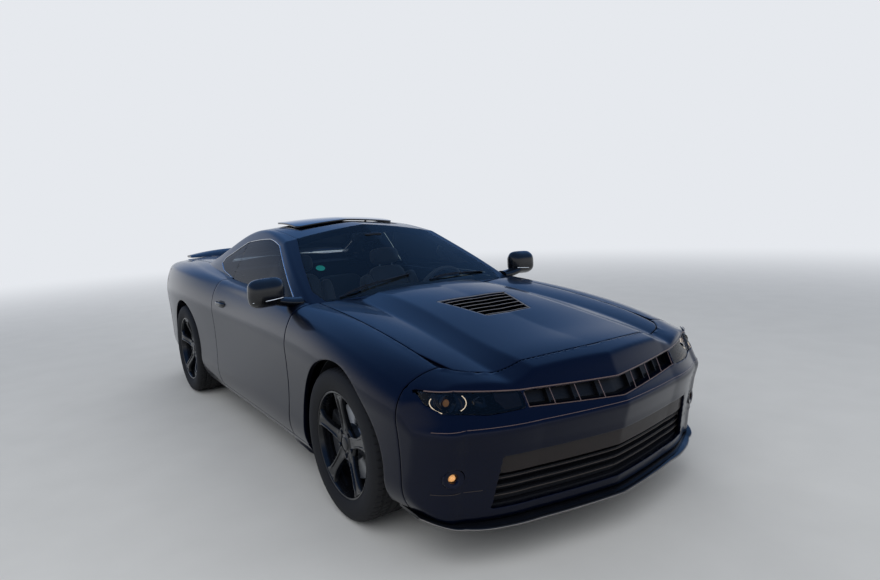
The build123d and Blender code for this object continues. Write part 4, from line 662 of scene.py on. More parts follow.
def glass_material(name, tint, strength=1.0):
    """Tinted sheet glass: it lets a tinted view through and mirrors more at a slant."""
    material, tree, shader, place = new_material(name)
    tree.nodes.remove(shader)
    wave = add_node(tree, "ShaderNodeTexNoise", {"Scale": 6.0, "Detail": 1.0}, Vector=place)
    bump = add_node(tree, "ShaderNodeBump", {"Strength": 0.02, "Distance": 0.001}, Height=wave.outputs["Fac"])
    clear = add_node(tree, "ShaderNodeBsdfTransparent", {"Color": linear(tint)})
    mirror = add_node(tree, "ShaderNodeBsdfGlossy", {"Roughness": 0.01}, Normal=bump.outputs["Normal"])
    slant = add_node(tree, "ShaderNodeFresnel", {"IOR": 1.0 + 0.52 * strength}, Normal=bump.outputs["Normal"])
    sides = {1: clear.outputs["BSDF"], 2: mirror.outputs["BSDF"]}
    mix = add_node(tree, "ShaderNodeMixShader", {}, sides, Fac=slant.outputs["Fac"])
    tree.links.new(mix.outputs["Shader"], tree.nodes["Material Output"].inputs["Surface"])
    return material


def light_material(name, colour, strength):
    """A lit light guide: it glows evenly, a little less where its fine ribs lie."""
    material, tree, shader, place = new_material(name)
    ribs = add_node(tree, "ShaderNodeTexWave", {"Scale": 160.0, "bands_direction": "Y"}, Vector=place)
    span = {"To Min": strength * 0.8, "To Max": strength}
    level = add_node(tree, "ShaderNodeMapRange", span, Value=ribs.outputs["Fac"])
    set_sockets(shader, Base_Color=linear(colour), Emission_Color=linear(colour))
    tree.links.new(level.outputs["Result"], shader.inputs["Emission Strength"])
    return material


def make_materials():
    """Every material of the car, by a short key."""
    return {
        # Its clear lacquer gives a deep mirror over a nearly black blue
        "paint": paint_material(),
        # Smooth black plastic of mirrors, grille bars and spoiler
        "gloss": finish_material("gloss_black_plastic", "#08090c", "#0e1015", 0.2, 60, 0.01, coat=0.7),
        # Moulded plastic of vents, cowl and ducts, with a fine grain
        "plastic": finish_material("grained_black_plastic", "#101114", "#1b1c20", 0.55, 1.2, 0.06),
        # Stamped steel under a thick stone-guard coating: matt and lumpy
        "under": finish_material("stone_guard_steel", "#17181b", "#26272b", 0.8, 6, 0.4),
        # Moulded rubber: dull and dark, with a fine grain
        "rubber": finish_material("tyre_rubber", "#131314", "#1e1e20", 0.75, 3, 0.08),
        # Sprayed satin lacquer over cast aluminium: a soft dark sheen
        "wheel": finish_material("satin_black_wheel_lacquer", "#0b0c0f", "#14161b", 0.24, 40, 0.02, 0.4, 0.7),
        # Turned steel: fine marks that spread its mirror
        "steel": finish_material("machined_steel", "#8b8d90", "#b4b6b9", 0.32, 0.8, 0.01, 1.0),
        # Polished stainless steel of trims and exhaust tips: a clear pale mirror
        "bright": finish_material("bright_trim_steel", "#b9bcc2", "#d8dbe0", 0.12, 30, 0.004, 1.0),
        # Sand-cast iron and aluminium: a dull, coarse metal grain
        "cast": finish_material("cast_iron", "#3b3c3e", "#57585a", 0.55, 2.5, 0.12, 0.8),
        # Embossed leather: a fine grain with a soft sheen at a slant
        "leather": finish_material("black_seat_leather", "#232326", "#34353a", 0.46, 1.8, 0.12, sheen=0.2),
        # Soft-touch moulded plastic: an even matt grey
        "trim": finish_material("soft_cabin_plastic", "#1b1c1f", "#2a2b2f", 0.6, 1.5, 0.08),
        # Needled carpet: no shine, short pile
        "carpet": finish_material("cabin_carpet", "#0e0e0f", "#232324", 0.95, 1.0, 0.8, sheen=0.4),
        # Moulded mesh seen as one dark ground, also on the vent's tray; the dark sheet behind the upper
        # grille's openings is painted shade
        "mesh": finish_material("dark_grille_mesh_and_painted_shade", "#08090a", "#101114", 0.45, 8, 0.02),
        # Tempered glass with a grey tint
        "window": glass_material("tinted_window_glass", "#a3afb1", 0.45),
        # Laminated glass, almost clear, which mirrors more at a slant
        "shield": glass_material("windshield_glass", "#dde6e4", 0.6),
        # Moulded polycarbonate lens, lightly smoked
        "lens": glass_material("smoked_lamp_lens", "#c3c7cc", 0.7),
        # Lit acrylic guide: an even warm white
        "halo": light_material("lit_halo_guide", "#ffe6c4", 1.2),
        # Pale grey satin finish that stands in for the light on the louvres' and the splitter's edges and the
        # vent's frame: a painted highlight
        "edge": finish_material("pale_painted_edge_highlight", "#8b8784", "#a19c98", 0.3, 30, 0.01, 0.6),
        # Lit fog lamp: a dull warm glow
        "warm": light_material("warm_fog_lamp", "#e8a868", 0.5),
        # Moulded red lens, which lets a red view through
        "redlens": glass_material("red_lamp_lens", "#d84048", 0.9),
        # Sunroof glass, dark enough to hide what lies under it
        "roofglass": finish_material("dark_roof_glass", "#0b0d10", "#11141a", 0.06, 200, 0.002, coat=1.0),
        # Lit strip along the mirror cap: a pale even line
        "glow": light_material("pale_light_strip", "#cfd6e2", 0.5),
        # Solid red acrylic of the tail lamps' guides and the spoiler's bar
        "tail": finish_material("tail_lens_red", "#8a0d14", "#a8141c", 0.12, 6, 0.05, coat=1.0),
        # Printed film, plain teal and matt
        "sticker": finish_material("plain_teal_sticker", "#1f8f88", "#2aa69c", 0.5, 12, 0.01),
        # Painted aluminium sheet, off-white
        "plate": finish_material("blank_plate_white", "#c9cbcd", "#dadcde", 0.45, 20, 0.02),
        # Lacquered plastic band over the lower bars, dark with little shine; its warm brown tint is partly a
        # painted reflection
        "band": finish_material("brown_black_plastic_painted_reflection", "#150f0e", "#1f1716", 0.45, 50, 0.01, coat=0.2),
        # A thin warm line of light painted along the lip over the grille, the grille's outline and bars and
        # the bumper's crease: a painted highlight
        "lip_highlight": finish_material("warm_painted_lip_highlight", "#5b4b49", "#6e5c58", 0.3, 50, 0.01, 0.3, 0.6),
        # A dull line of light painted along the lower grille's bars and under the fog lamps: a painted
        # highlight
        "slat_highlight": finish_material("dull_painted_slat_highlight", "#3b3634", "#4c4542", 0.35, 30, 0.01, 0.4),
        # The projector's lit core, amber
        "amber": light_material("amber_projector_core", "#c98a4c", 0.45),
        # Vapour-coated plastic reflector in dark bronze
        "bronze": finish_material("dark_bronze_reflector", "#2a221f", "#3a2f2a", 0.3, 20, 0.01, 0.6),
    }


# Outlines of the panels: side views in X and Z, plan views in X and Y, end views in Y and Z
DOOR_OPENING = np.array(
    [(858, 240), (870, 520), (845, 905), (810, 1100), (-600, 1100), (-600, 905), (-560, 640), (-505, 240)],
    float,
)
# The door's own front edge stands back a little more, so that it passes the fender as it swings
DOOR_FRONT_TRIM = 4.0
DOOR_OUTLINE = DOOR_OPENING - np.where(DOOR_OPENING[:, :1] > 0, [[DOOR_FRONT_TRIM, 0.0]], 0.0)
WINDOW_OUTLINE = np.vstack(
    [
        [(655, 952)],
        arc_points((60, 1240), (-160, 1275), -4, 6),
        arc_points((-160, 1275), (-640, 1243), -6, 8),
        [(-640, 1243), (-1010, 1118), (-1035, 1078), (-900, 1030), (-640, 994), (-560, 966)],
    ]
)
HOOD_OUTLINE = mirrored_outline(
    np.vstack(
        [
            arc_points((925, 0), (850, 695), -12),
            [(850, 695)],
            arc_points((1965, 695), (2120, 575), 26),
            arc_points((2120, 575), (2215, 0), 22),
            [(2215, 0)],
        ]
    )
)
TRUNK_OUTLINE = mirrored_outline([(-1575, 0), (-1535, 640), (-2520, 640), (-2520, 0)])
SHIELD_OUTLINE = mirrored_outline(
    np.vstack(
        [
            [(120, 0)],
            arc_points((116, 500), (700, 668), 8),
            [(700, 668)],
            arc_points((820, 640), (885, 0), 12),
            [(885, 0)],
        ]
    )
)
REAR_WINDOW_OUTLINE = mirrored_outline([(-800, 0), (-800, 470), (-1440, 590), (-1525, 0)])
ROOF_OUTLINE = np.array([(115, -505), (115, 505), (-800, 505), (-800, -505)], float)
SUNROOF_OUTLINE = np.array([(-60, -400), (-60, 400), (-480, 400), (-480, -400)], float)
VENT_OUTLINE = np.array([(1660, 150), (1340, 235), (1340, -235), (1660, -150)], float)
GRILLE_OUTLINE = np.array([(-470, 650), (0, 620), (470, 650), (470, 712), (0, 694), (-470, 712)], float)
LAMP_OUTLINE = np.array(
    [(480, 650), (640, 644), (800, 664), (846, 700), (852, 748), (660, 728), (480, 712)], float
)
LOWER_OUTLINE = np.array([(-625, 245), (625, 245), (590, 470), (-590, 470)], float)
# The projector's middle and the fog lamp's, in Y and Z on the left
LAMP_EYE = (762.0, 694.0)
FOG_MIDDLE, FOG_RADIUS = (775.0, 400.0), 42.0
# The points inside nose and tail from which their skins are seen, along X and Z
NOSE_EYE, TAIL_EYE = (1750.0, 470.0), (-1750.0, 560.0)
# The left tail lamps' spans along Y, and the left exhaust tip's middle in Y and Z
TAIL_LAMP_SPANS = ((270, 480), (510, 740))
TIP_MIDDLE = (560.0, 278.0)
# The seam between two panels
GAP = 5.0


def covering(start, end, cell):
    """Evenly spaced values over a span, about a cell apart."""
    return np.linspace(start, end, max(int(abs(end - start) / cell) + 2, 3))


def both_sides(patch):
    """A left patch with its mirror image."""
    return joined(patch, mirror_patch(*patch))


def skin(surface, x_span, shares, limits, cell=9.0, hem=2.2, depth=14.0, height=1100.0):
    """A hemmed patch of a body or cabin surface, its faces outwards."""
    u = covering(*x_span, cell)
    v = covering(*shares, cell / height)
    points, faces = trimmed_patch(surface, u, v, limits)
    return hemmed(points, flipped(faces), hem, depth)


def cabin_skin(x_span, shares, limits, **sizes):
    """A hemmed patch of the cabin's surface."""
    return skin(cabin_surface, x_span, shares, limits, height=950, **sizes)


def beyond(axis, value, sign=1):
    """A limit that keeps what lies past a value along an axis, upwards for sign 1."""
    return lambda p: sign * (value - p[..., axis])


def off_centre(value):
    """A limit that keeps what lies further than a value from the centre plane."""
    return lambda p: value - np.abs(p[..., 1])


def either(first, second):
    """A limit that keeps what either of two limits keeps."""
    return lambda p: np.minimum(first(p), second(p))


def arch_limit(axle_x):
    """A limit that keeps what lies outside a wheel opening."""

    def limit(p):
        x, z = p[..., 0] - axle_x, p[..., 2] - TYRE_RADIUS
        return np.where(z > 0, ARCH_RADIUS - np.hypot(x, z), ARCH_RADIUS - np.abs(x))

    return limit


def end_limit(p):
    """A limit that keeps what lies inside the nose's and tail's upright forms."""
    y, z = p[..., 1], p[..., 2]
    return np.maximum(p[..., 0] - front_x(y, z), rear_x(y, z) - p[..., 0])


def panel_patches():
    """The painted outer skins of the body and the cabin, by name."""
    patches = {}
    hood = [within("top", HOOD_OUTLINE), without("top", VENT_OUTLINE), end_limit]
    patches["hood_skin"] = skin(body_surface, (845, 2225), (0.55, 1.45), hood)
    fender = [
        beyond(0, 2005, -1),
        beyond(0, 770),
        off_centre(700),
        beyond(2, 240),
        without("side", DOOR_OPENING, GAP),
        arch_limit(FRONT_AXLE_X),
    ]
    patches["fender_skin"] = skin(body_surface, (765, 2010), (0.0, 0.8), fender)
    door = [within("side", DOOR_OUTLINE), off_centre(745), beyond(2, 1095, -1)]
    patches["door_skin"] = skin(body_surface, (-605, 875), (0.0, 0.9), door)
    ahead = np.array([(800, 235), (3000, 235), (3000, 1500), (800, 1500)], float)
    quarter = [
        beyond(0, -2045),
        beyond(0, 1060, -1),
        off_centre(646),
        without("side", DOOR_OPENING, GAP),
        without("side", ahead),
        arch_limit(REAR_AXLE_X),
        end_limit,
    ]
    patches["side_skin"] = skin(body_surface, (-2050, 1065), (0.0, 0.86), quarter)
    lid = [within("top", TRUNK_OUTLINE), beyond(2, 905), end_limit]
    patches["trunk_skin"] = skin(body_surface, (-2425, -1530), (0.5, 1.5), lid)
    deck = [
        beyond(0, -1440, -1),
        beyond(0, -1600),
        lambda p: np.abs(p[..., 1]) - 640,
        without("top", TRUNK_OUTLINE, GAP),
        without("top", REAR_WINDOW_OUTLINE, 2),
    ]
    patches["deck_skin"] = skin(body_surface, (-1600, -1435), (0.5, 1.5), deck)
    roof = [within("top", ROOF_OUTLINE), without("top", SUNROOF_OUTLINE)]
    patches["roof_skin"] = cabin_skin((-805, 119), (0.3, 1.7), roof)
    pillars = [
        beyond(0, -1560),
        beyond(0, 880, -1),
        without("top", SHIELD_OUTLINE, 2),
        without("top", REAR_WINDOW_OUTLINE, 2),
        without("top", ROOF_OUTLINE, 0),
        without("side", WINDOW_OUTLINE, GAP),
        beyond(2, 840),
        # The hood's rear edge swings back through here
        either(either(beyond(0, 834, -1), off_centre(690)), beyond(2, 945)),
        lambda p: np.where(p[..., 0] < -1430, 596 - np.abs(p[..., 1]), -50.0),
    ]
    patches["pillar_skin"] = cabin_skin((-1560, 880), (0.0, 1.0), pillars, cell=8.0)
    return patches


def glass_patches():
    """The windows' outer faces: windshield, rear window, door and quarter."""
    shield = [within("top", SHIELD_OUTLINE)]
    rear = [within("top", REAR_WINDOW_OUTLINE)]
    low, high = (-591, 800), (-631, 1400)
    door = [within("side", WINDOW_OUTLINE), side_of("side", high, low), off_centre(300)]
    behind = side_of("side", (low[0] - GAP, low[1]), (high[0] - GAP, high[1]))
    quarter = [within("side", WINDOW_OUTLINE, -GAP), behind, off_centre(300)]
    return (
        cabin_skin((116, 889), (0.2, 1.8), shield, hem=1.5, depth=5.0),
        cabin_skin((-1529, -798), (0.2, 1.8), rear, hem=1.5, depth=5.0),
        cabin_skin((-640, 665), (0.0, 0.6), door, hem=1.0, depth=4.0),
        cabin_skin((-1045, -590), (0.0, 0.6), quarter, hem=1.0, depth=4.0),
    )


def end_skin(nose, azimuths, elevations, cell, limits):
    """The nose's or the tail's hemmed skin over spans of angles in degrees, seen from its point inside."""
    eye = NOSE_EYE if nose else TAIL_EYE
    spans = [np.radians(covering(*span, cell)) for span in (azimuths, elevations)]
    points, faces = trimmed_patch(lambda a, e: end_surface(a, e, nose, *eye, 2), *spans, limits)
    return hemmed(points, faces if nose else flipped(faces), 2.2, 14.0)


def nose_patches():
    """The front and rear bumper covers, with openings for lamps, grilles, plate and exhaust tips."""
    front = [
        beyond(0, 2010),
        either(beyond(2, 620, -1), without("top", HOOD_OUTLINE, GAP)),
        without("front", GRILLE_OUTLINE),
        without("front", LAMP_OUTLINE),
        without("front", LAMP_OUTLINE * [-1, 1]),
        without("front", LOWER_OUTLINE),
        without("front", circle_outline(FOG_MIDDLE, FOG_RADIUS)),
        without("front", circle_outline((-FOG_MIDDLE[0], FOG_MIDDLE[1]), FOG_RADIUS)),
        beyond(2, 190),
    ]
    rear = [
        beyond(0, -2050, -1),
        either(beyond(2, 900, -1), without("top", TRUNK_OUTLINE, GAP)),
        without("front", rounded_box(-165, 165, 560, 735, 12)),
        without("front", circle_outline(TIP_MIDDLE, 62)),
        without("front", circle_outline((-TIP_MIDDLE[0], TIP_MIDDLE[1]), 62)),
        beyond(2, 205),
    ]
    for y0, y1 in TAIL_LAMP_SPANS:
        for low, high in ((y0, y1), (-y1, -y0)):
            rear.append(without("front", rounded_box(low, high, 770, 880, 22)))
    return {
        "nose_skin": end_skin(True, (-84, 84), (-34, 62), 0.62, front),
        "tail_skin": end_skin(False, (-86, 86), (-36, 64), 0.7, rear),
    }


def rounded_box(y0, y1, z0, z1, radius, count=7):
    """A box outline with rounded corners."""
    turn = np.linspace(0, np.pi / 2, count)
    corner = radius * np.stack([np.cos(turn), np.sin(turn)], -1)
    parts = []
    for middle, quarter in (
        ((y1 - radius, z1 - radius), 0),
        ((y0 + radius, z1 - radius), 1),
        ((y0 + radius, z0 + radius), 2),
        ((y1 - radius, z0 + radius), 3),
    ):
        turned = corner
        for _ in range(quarter):
            turned = np.stack([-turned[:, 1], turned[:, 0]], -1)
        parts.append(np.array(middle) + turned)
    return np.vstack(parts)


# Stage and camera


# The backdrop as the camera sees it, and the blue overhead that only mirrors and glass see
BACKDROP = "#e6e9ee"
OVERHEAD = "#5a86c2"


def floor_material():
    """Pale floor that keeps the shadow round the car and runs into the backdrop's colour further off."""
    material, tree, shader, place = new_material("pale_studio_floor")
    grain = add_node(tree, "ShaderNodeTexNoise", {"Scale": 3.0, "Detail": 5.0}, Vector=place)
    colours = (linear("#c9c9c7"), linear("#d3d3d1"))
    ramp = add_node(tree, "ShaderNodeValToRGB", {"ramp": colours}, Fac=grain.outputs["Fac"])
    tree.links.new(ramp.outputs["Color"], shader.inputs["Base Color"])
    set_sockets(shader, Roughness=0.7, Specular_IOR_Level=0.2)
    away = add_node(tree, "ShaderNodeVectorMath", {"operation": "LENGTH"}, Vector=place)
    span = {"interpolation_type": "SMOOTHSTEP", "From Min": 4.5, "From Max": 15.0}
    far = add_node(tree, "ShaderNodeMapRange", span, Value=away.outputs["Value"])
    glow = add_node(tree, "ShaderNodeEmission", {"Color": linear(BACKDROP), "Strength": 1.0})
    sides = {1: shader.outputs["BSDF"], 2: glow.outputs["Emission"]}
    mix = add_node(tree, "ShaderNodeMixShader", {}, sides, Fac=far.outputs["Result"])
    tree.links.new(mix.outputs["Shader"], tree.nodes["Material Output"].inputs["Surface"])
    return material


def seen_directly(tree):
    """One for rays from the camera, off a mirror or through glass, and nothing for the light on things."""
    path = add_node(tree, "ShaderNodeLightPath")
    total = path.outputs["Is Camera Ray"]
    for name in ("Is Glossy Ray", "Is Transmission Ray"):
        step = add_node(tree, "ShaderNodeMath", {"operation": "MAXIMUM"}, {0: total, 1: path.outputs[name]})
        total = step.outputs["Value"]
    return total


# Name, place, aim, width, height and power
LAMPS = (
    ("key", (4.5, -6.0, 7.0), (0.4, -0.2, 0.6), 8.0, 8.0, 360.0),
    ("fill", (8.0, 4.5, 5.0), (0.8, 0.2, 0.6), 7.0, 7.0, 150.0),
    ("rim", (-7.0, 3.0, 7.0), (-0.4, 0.0, 0.8), 7.0, 7.0, 200.0),
)


# The photograph's camera, fitted to named points: place in metres, turns in degrees, focus in pixels
CAMERA_PLACE = (4.09919, -2.10834, 1.46653)
CAMERA_TURNS = (145.478, -7.80, -2.69)
CAMERA_FOCUS, PHOTO_WIDTH, SENSOR_WIDTH = 627.8, 880, 36.0


def build_stage():
    """A pale floor, a bright backdrop, soft lights at a plain level and the photograph's camera."""
    scene = bpy.context.scene
    floor_mesh = bpy.data.meshes.new("floor")
    floor_mesh.from_pydata([(-40, -40, 0), (40, -40, 0), (40, 40, 0), (-40, 40, 0)], [], [(0, 1, 2, 3)])
    floor = bpy.data.objects.new("floor", floor_mesh)
    scene.collection.objects.link(floor)
    floor_mesh.materials.append(floor_material())
    build_world(scene)
    build_lights(scene)
    build_camera(scene)
    scene.view_settings.view_transform = "Standard"


def build_world(scene):
    """An even light on things, and for mirrors and glass a backdrop that turns blue higher up."""
    world = bpy.data.worlds.new("studio")
    scene.world = world
    world.use_nodes = True
    tree = world.node_tree
    sky = tree.nodes["Background"]
    set_sockets(sky, Color=linear("#dfe4ec"), Strength=0.6)
    towards = add_node(tree, "ShaderNodeTexCoord").outputs["Generated"]
    height = add_node(tree, "ShaderNodeSeparateXYZ", {}, Vector=towards).outputs["Z"]
    span = {"interpolation_type": "SMOOTHSTEP", "From Min": 0.0, "From Max": 0.42}
    rise = add_node(tree, "ShaderNodeMapRange", span, Value=height).outputs["Result"]
    camera_ray = add_node(tree, "ShaderNodeLightPath").outputs["Is Camera Ray"]
    less = {"operation": "SUBTRACT", "use_clamp": True}
    mirrored = add_node(tree, "ShaderNodeMath", less, {0: rise, 1: camera_ray}).outputs["Value"]
    ramp = add_node(tree, "ShaderNodeValToRGB", {"ramp": (linear(BACKDROP), linear(OVERHEAD))}, Fac=mirrored)
    backdrop = add_node(tree, "ShaderNodeBackground", {"Strength": 1.0}, Color=ramp.outputs["Color"])
    sides = {1: sky.outputs["Background"], 2: backdrop.outputs["Background"]}
    mix = add_node(tree, "ShaderNodeMixShader", {}, sides, Fac=seen_directly(tree))
    tree.links.new(mix.outputs["Shader"], tree.nodes["World Output"].inputs["Surface"])


def build_lights(scene):
    """Three large soft lights that don't show as mirror images."""
    for name, place, aim, width, height, power in LAMPS:
        data = bpy.data.lights.new(name, "AREA")
        data.shape = "RECTANGLE"
        data.energy = power
        data.size = width
        data.size_y = height
        lamp = bpy.data.objects.new(name, data)
        lamp.location = place
        lamp.visible_glossy = False
        lamp.rotation_euler = (Vector(aim) - Vector(place)).to_track_quat("-Z", "Y").to_euler()
        scene.collection.objects.link(lamp)


def build_camera(scene):
    """The photograph's camera: its axes from yaw and pitch, then rolled about the line of sight."""
    place = CAMERA_PLACE
    yaw, pitch, roll = np.radians(CAMERA_TURNS)
    ahead = np.array([np.cos(yaw) * np.cos(pitch), np.sin(yaw) * np.cos(pitch), np.sin(pitch)])
    side = np.cross(ahead, [0, 0, 1.0])
    side /= np.linalg.norm(side)
    up = np.cross(side, ahead)
    right = side * np.cos(roll) + up * np.sin(roll)
    up = -side * np.sin(roll) + up * np.cos(roll)
    data = bpy.data.cameras.new("photo_camera")
    data.sensor_width = SENSOR_WIDTH
    data.lens = CAMERA_FOCUS / PHOTO_WIDTH * SENSOR_WIDTH
    camera = bpy.data.objects.new("photo_camera", data)
    camera.matrix_world = Matrix([[right[k], up[k], -ahead[k], place[k]] for k in range(3)] + [[0, 0, 0, 1]])
    scene.collection.objects.link(camera)
    scene.camera = camera


def painted(name, patch, body, nodes=(), key="paint", slot="body_paint"):
    """A panel or pane, whose faces already look outwards."""
    return make_piece(name, patch, key, body, slot, nodes, orient=False)


def backing(name, node, body):
    """A merged copy of a CAD panel with its outer face pushed in, which shows its inner side."""
    source = NODES[node]
    piece = bpy.data.objects.new(name, source.data.copy())
    bpy.context.scene.collection.objects.link(piece)
    mesh = piece.data
    shape = bmesh.new()
    shape.from_mesh(mesh)
    bmesh.ops.remove_doubles(shape, verts=shape.verts, dist=1e-5)
    shape.to_mesh(mesh)
    shape.free()
    points = np.zeros(len(mesh.vertices) * 3)
    mesh.vertices.foreach_get("co", points)
    points = points.reshape(-1, 3) / MM
    corners = np.zeros(len(mesh.loops), int)
    mesh.loops.foreach_get("vertex_index", corners)
    corners = corners.reshape(-1, 3)
    first, second, third = (points[corners[:, k]] for k in range(3))
    facing = np.cross(second - first, third - first)
    spine = np.clip(first[:, 0], -SPINE_HALF, SPINE_HALF)
    away = first - np.stack([spine, 0 * first[:, 1], 0 * first[:, 2] + SPINE_Z], -1)
    outer = on_skin(points)[corners].all(1) & ((facing * away).sum(1) > 0)
    move = np.zeros_like(points)
    for k in range(3):
        np.add.at(move, corners[outer, k], facing[outer])
    size = np.linalg.norm(move, axis=1, keepdims=True)
    points -= np.where(size > 1e-9, move / np.maximum(size, 1e-9) * BACKING_DEPTH, 0)
    mesh.vertices.foreach_set("co", (points * MM).ravel())
    mesh.materials.clear()
    mesh.materials.append(MATERIALS["paint"])
    mesh.polygons.foreach_set("use_smooth", np.ones(len(mesh.polygons), bool))
    mesh.set_sharp_from_angle(angle=np.radians(30))
    mesh.update()
    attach(piece, body)
    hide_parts(node)


def near_surface(surface, shares):
    """A test of points that lie close to a surface, by many points of its section at their own x."""
    share = np.linspace(*shares, 260)

    def test(points):
        out = np.zeros(len(points), bool)
        for start in range(0, len(points), 2000):
            part = points[start : start + 2000]
            x = np.broadcast_to(part[:, :1], (len(part), len(share)))
            curve = surface(x, np.broadcast_to(share, x.shape), 0.0)
            gap = np.hypot(curve[..., 1] - np.abs(part[:, 1:2]), curve[..., 2] - part[:, 2:3])
            out[start : start + 2000] = gap.min(1) < SKIN_ROOM
        return out

    return test


# Pieces


# Patch, CAD node and body
PANELS = (
    ("hood_skin", "hood", "hood"),
    ("trunk_skin", "trunk_lid", "trunk_lid"),
    ("roof_skin", "roof_panel", "car"),
    ("nose_skin", "front_bumper", "car"),
    ("tail_skin", "rear_bumper", "car"),
)
SIDE_PANELS = (
    ("fender_skin", "front_fender", "car"),
    ("door_skin", "door", "door"),
    ("side_skin", "body_side", "car"),
)


# How far behind its skin a panel's backing lies, and how near to the outer form its own outer face is
BACKING_DEPTH, SKIN_ROOM = 11.0, 9.0
# Half the length and the height of the line inside the car from which outer faces look away
SPINE_HALF, SPINE_Z = 1700, 550


def on_skin(points):
    """True for points that lie on the lower body's or the cabin's outer form, or on the nose or tail form."""
    y, z = points[:, 1], points[:, 2]
    x = points[:, 0]
    ends = (np.abs(x - front_x(y, z)) < SKIN_ROOM) | (np.abs(x - rear_x(y, z)) < SKIN_ROOM)
    return near_surface(body_surface, (0, 1))(points) | near_surface(cabin_surface, (0, 1))(points) | ends


def build_panels():
    """The painted panels: each outer skin over a copy of its CAD panel."""
    patches = panel_patches()
    patches.update(nose_patches())
    for name, node, body in PANELS:
        painted(name, patches[name], body)
        backing(name.replace("skin", "inner"), node, body)
    for name, node, body in SIDE_PANELS:
        for side, patch in (("left", patches[name]), ("right", mirror_patch(*patches[name]))):
            ride = f"{body}_{side}" if body == "door" else body
            painted(f"{name}_{side}", patch, ride)
            backing(f"{name}_{side}".replace("skin", "inner"), f"{node}_{side}", ride)
    painted("pillar_skins", both_sides(patches["pillar_skin"]), "car")
    painted("deck_skin", patches["deck_skin"], "car")


def build_glass():
    """The windows as tinted sheets with a rounded edge."""
    screen, rear, door_pane, quarter_pane = glass_patches()
    shield = {"key": "shield", "slot": "window_glass"}
    tinted = {"key": "window", "slot": "window_glass"}
    painted("windshield_pane", screen, "car", ["windshield"], **shield)
    painted("rear_window_pane", rear, "car", ["rear_window"], **tinted)
    for side in ("left", "right"):
        door, quarter = door_pane, quarter_pane
        if side == "right":
            door, quarter = mirror_patch(*door), mirror_patch(*quarter)
        painted(f"door_pane_{side}", door, f"door_{side}", [f"door_glass_{side}"], **tinted)
        painted(f"quarter_pane_{side}", quarter, "car", [f"quarter_glass_{side}"], **tinted)


# The CAD nodes that no piece stands for; the rest are plain plastic
NODE_FINISHES = {
    "floor_pan": "carpet",
    "front_structure": "under",
    "rear_structure": "under",
    "upper_grille": "mesh",
    "headlamp": "gloss",
    "tail_lamps": "tail",
    "exhaust": "steel",
    "knuckle": "cast",
    "front_suspension": "cast",
    "rear_suspension": "cast",
    "engine": "cast",
    "dashboard": "trim",
    "console": "trim",
}


def finish_nodes():
    """Gives every CAD node that still shows its real material."""
    for name, node in NODES.items():
        stem = name.removesuffix("_left").removesuffix("_right")
        node.data.materials.clear()
        node.data.materials.append(MATERIALS[NODE_FINISHES.get(stem, "plastic")])


# Wheels and tyres


TYRE_STEPS, SIPES, SPOKES = 384, 64, 5


def tyre_patch(width):
    """A tyre about the origin: its profile round the axle, less grooves round it and sipes across."""
    half = width / 2
    foot = half - 20
    rim = [
        (foot - 14, 258), (foot, 257), (foot + 8, 262), (half - 6, 276), (half - 1.5, 292), (half, 306),
        (half - 1, 322), (half - 4, 336), (half - 5, 338), (half - 9, 346), (half - 16, 354),
        (half - 26, 359.5), (half - 36, 362),
    ]
    side = np.array(rim, float)
    tread = np.linspace(half - 38, -half + 38, 46)
    tread = np.stack([tread, TYRE_RADIUS - 1.8 * (tread / half) ** 2], -1)
    profile = np.vstack([side, tread, side[::-1] * [-1, 1]])
    turn = full_turn(TYRE_STEPS)[:, None]
    y, r = profile[None, :, 0], profile[None, :, 1]
    grooves = np.zeros_like(y)
    for middle, wide in ((-0.27, 5.0), (-0.09, 5.5), (0.09, 5.5), (0.27, 5.0)):
        grooves = np.maximum(grooves, np.clip(wide - np.abs(y - middle * width), 0, 2.5) * 2.8)
    phase = np.mod(turn * SIPES / (2 * np.pi) + 0.35 * np.abs(y) / 30, 1.0)
    sipes = np.where((phase < 0.17) & (np.abs(y) < half - 18) & (np.abs(y) > 0.12 * width), 5.0, 0.0)
    ribs = np.where((r > 268) & (r < 296), 0.6 * np.sin((r - 268) / 28 * np.pi * 7), 0.0)
    radius = r - np.maximum(grooves, sipes)
    wide = y + np.sign(y) * (ribs - 0.6) * (np.abs(y) > 60)
    x = radius * np.cos(turn)
    z = radius * np.sin(turn)
    points = np.stack([x, np.broadcast_to(wide, x.shape), z], -1).reshape(-1, 3)
    return points, grid_faces(TYRE_STEPS, len(profile), close_rows=True)


def spoke_patch(face, angle):
    """One spoke: a section with a shallow channel, carried out along the radius and flared at the rim."""
    radius = np.array([48, 62, 78, 100, 125, 150, 175, 200, 218, 232, 244], float)
    half = np.interp(radius, [48, 78, 125, 175, 218, 244], [34, 31, 25, 25, 33, 50])
    top = np.interp(radius, [48, 78, 125, 200, 244], [80, 84, 92, face - 1, face])
    deep = np.interp(radius, [48, 100, 244], [26, 26, 20])
    rows = []
    for r, w, y, d in zip(radius, half, top, deep):
        c = w * 0.52
        sink = np.interp(r, [70, 90, 210, 235], [0.5, 6, 6, 0.5])
        across = [-w - 3, -w, -w + 2, -w + 6, -c - 3, -c, 0, c, c + 3, w - 6, w - 2, w, w + 3]
        rise = [-d, -7, -2, 0, 0, -sink, -sink, -sink, 0, 0, -2, -7, -d]
        rows.append(np.stack([np.full(len(rise), r), np.array(across), y + np.array(rise)], -1))
    grid = np.array(rows)
    c, s = np.cos(angle), np.sin(angle)
    x = grid[..., 0] * c - grid[..., 1] * s
    z = grid[..., 0] * s + grid[..., 1] * c
    return np.stack([x, grid[..., 2], z], -1).reshape(-1, 3), capped_faces(len(radius), grid.shape[1])


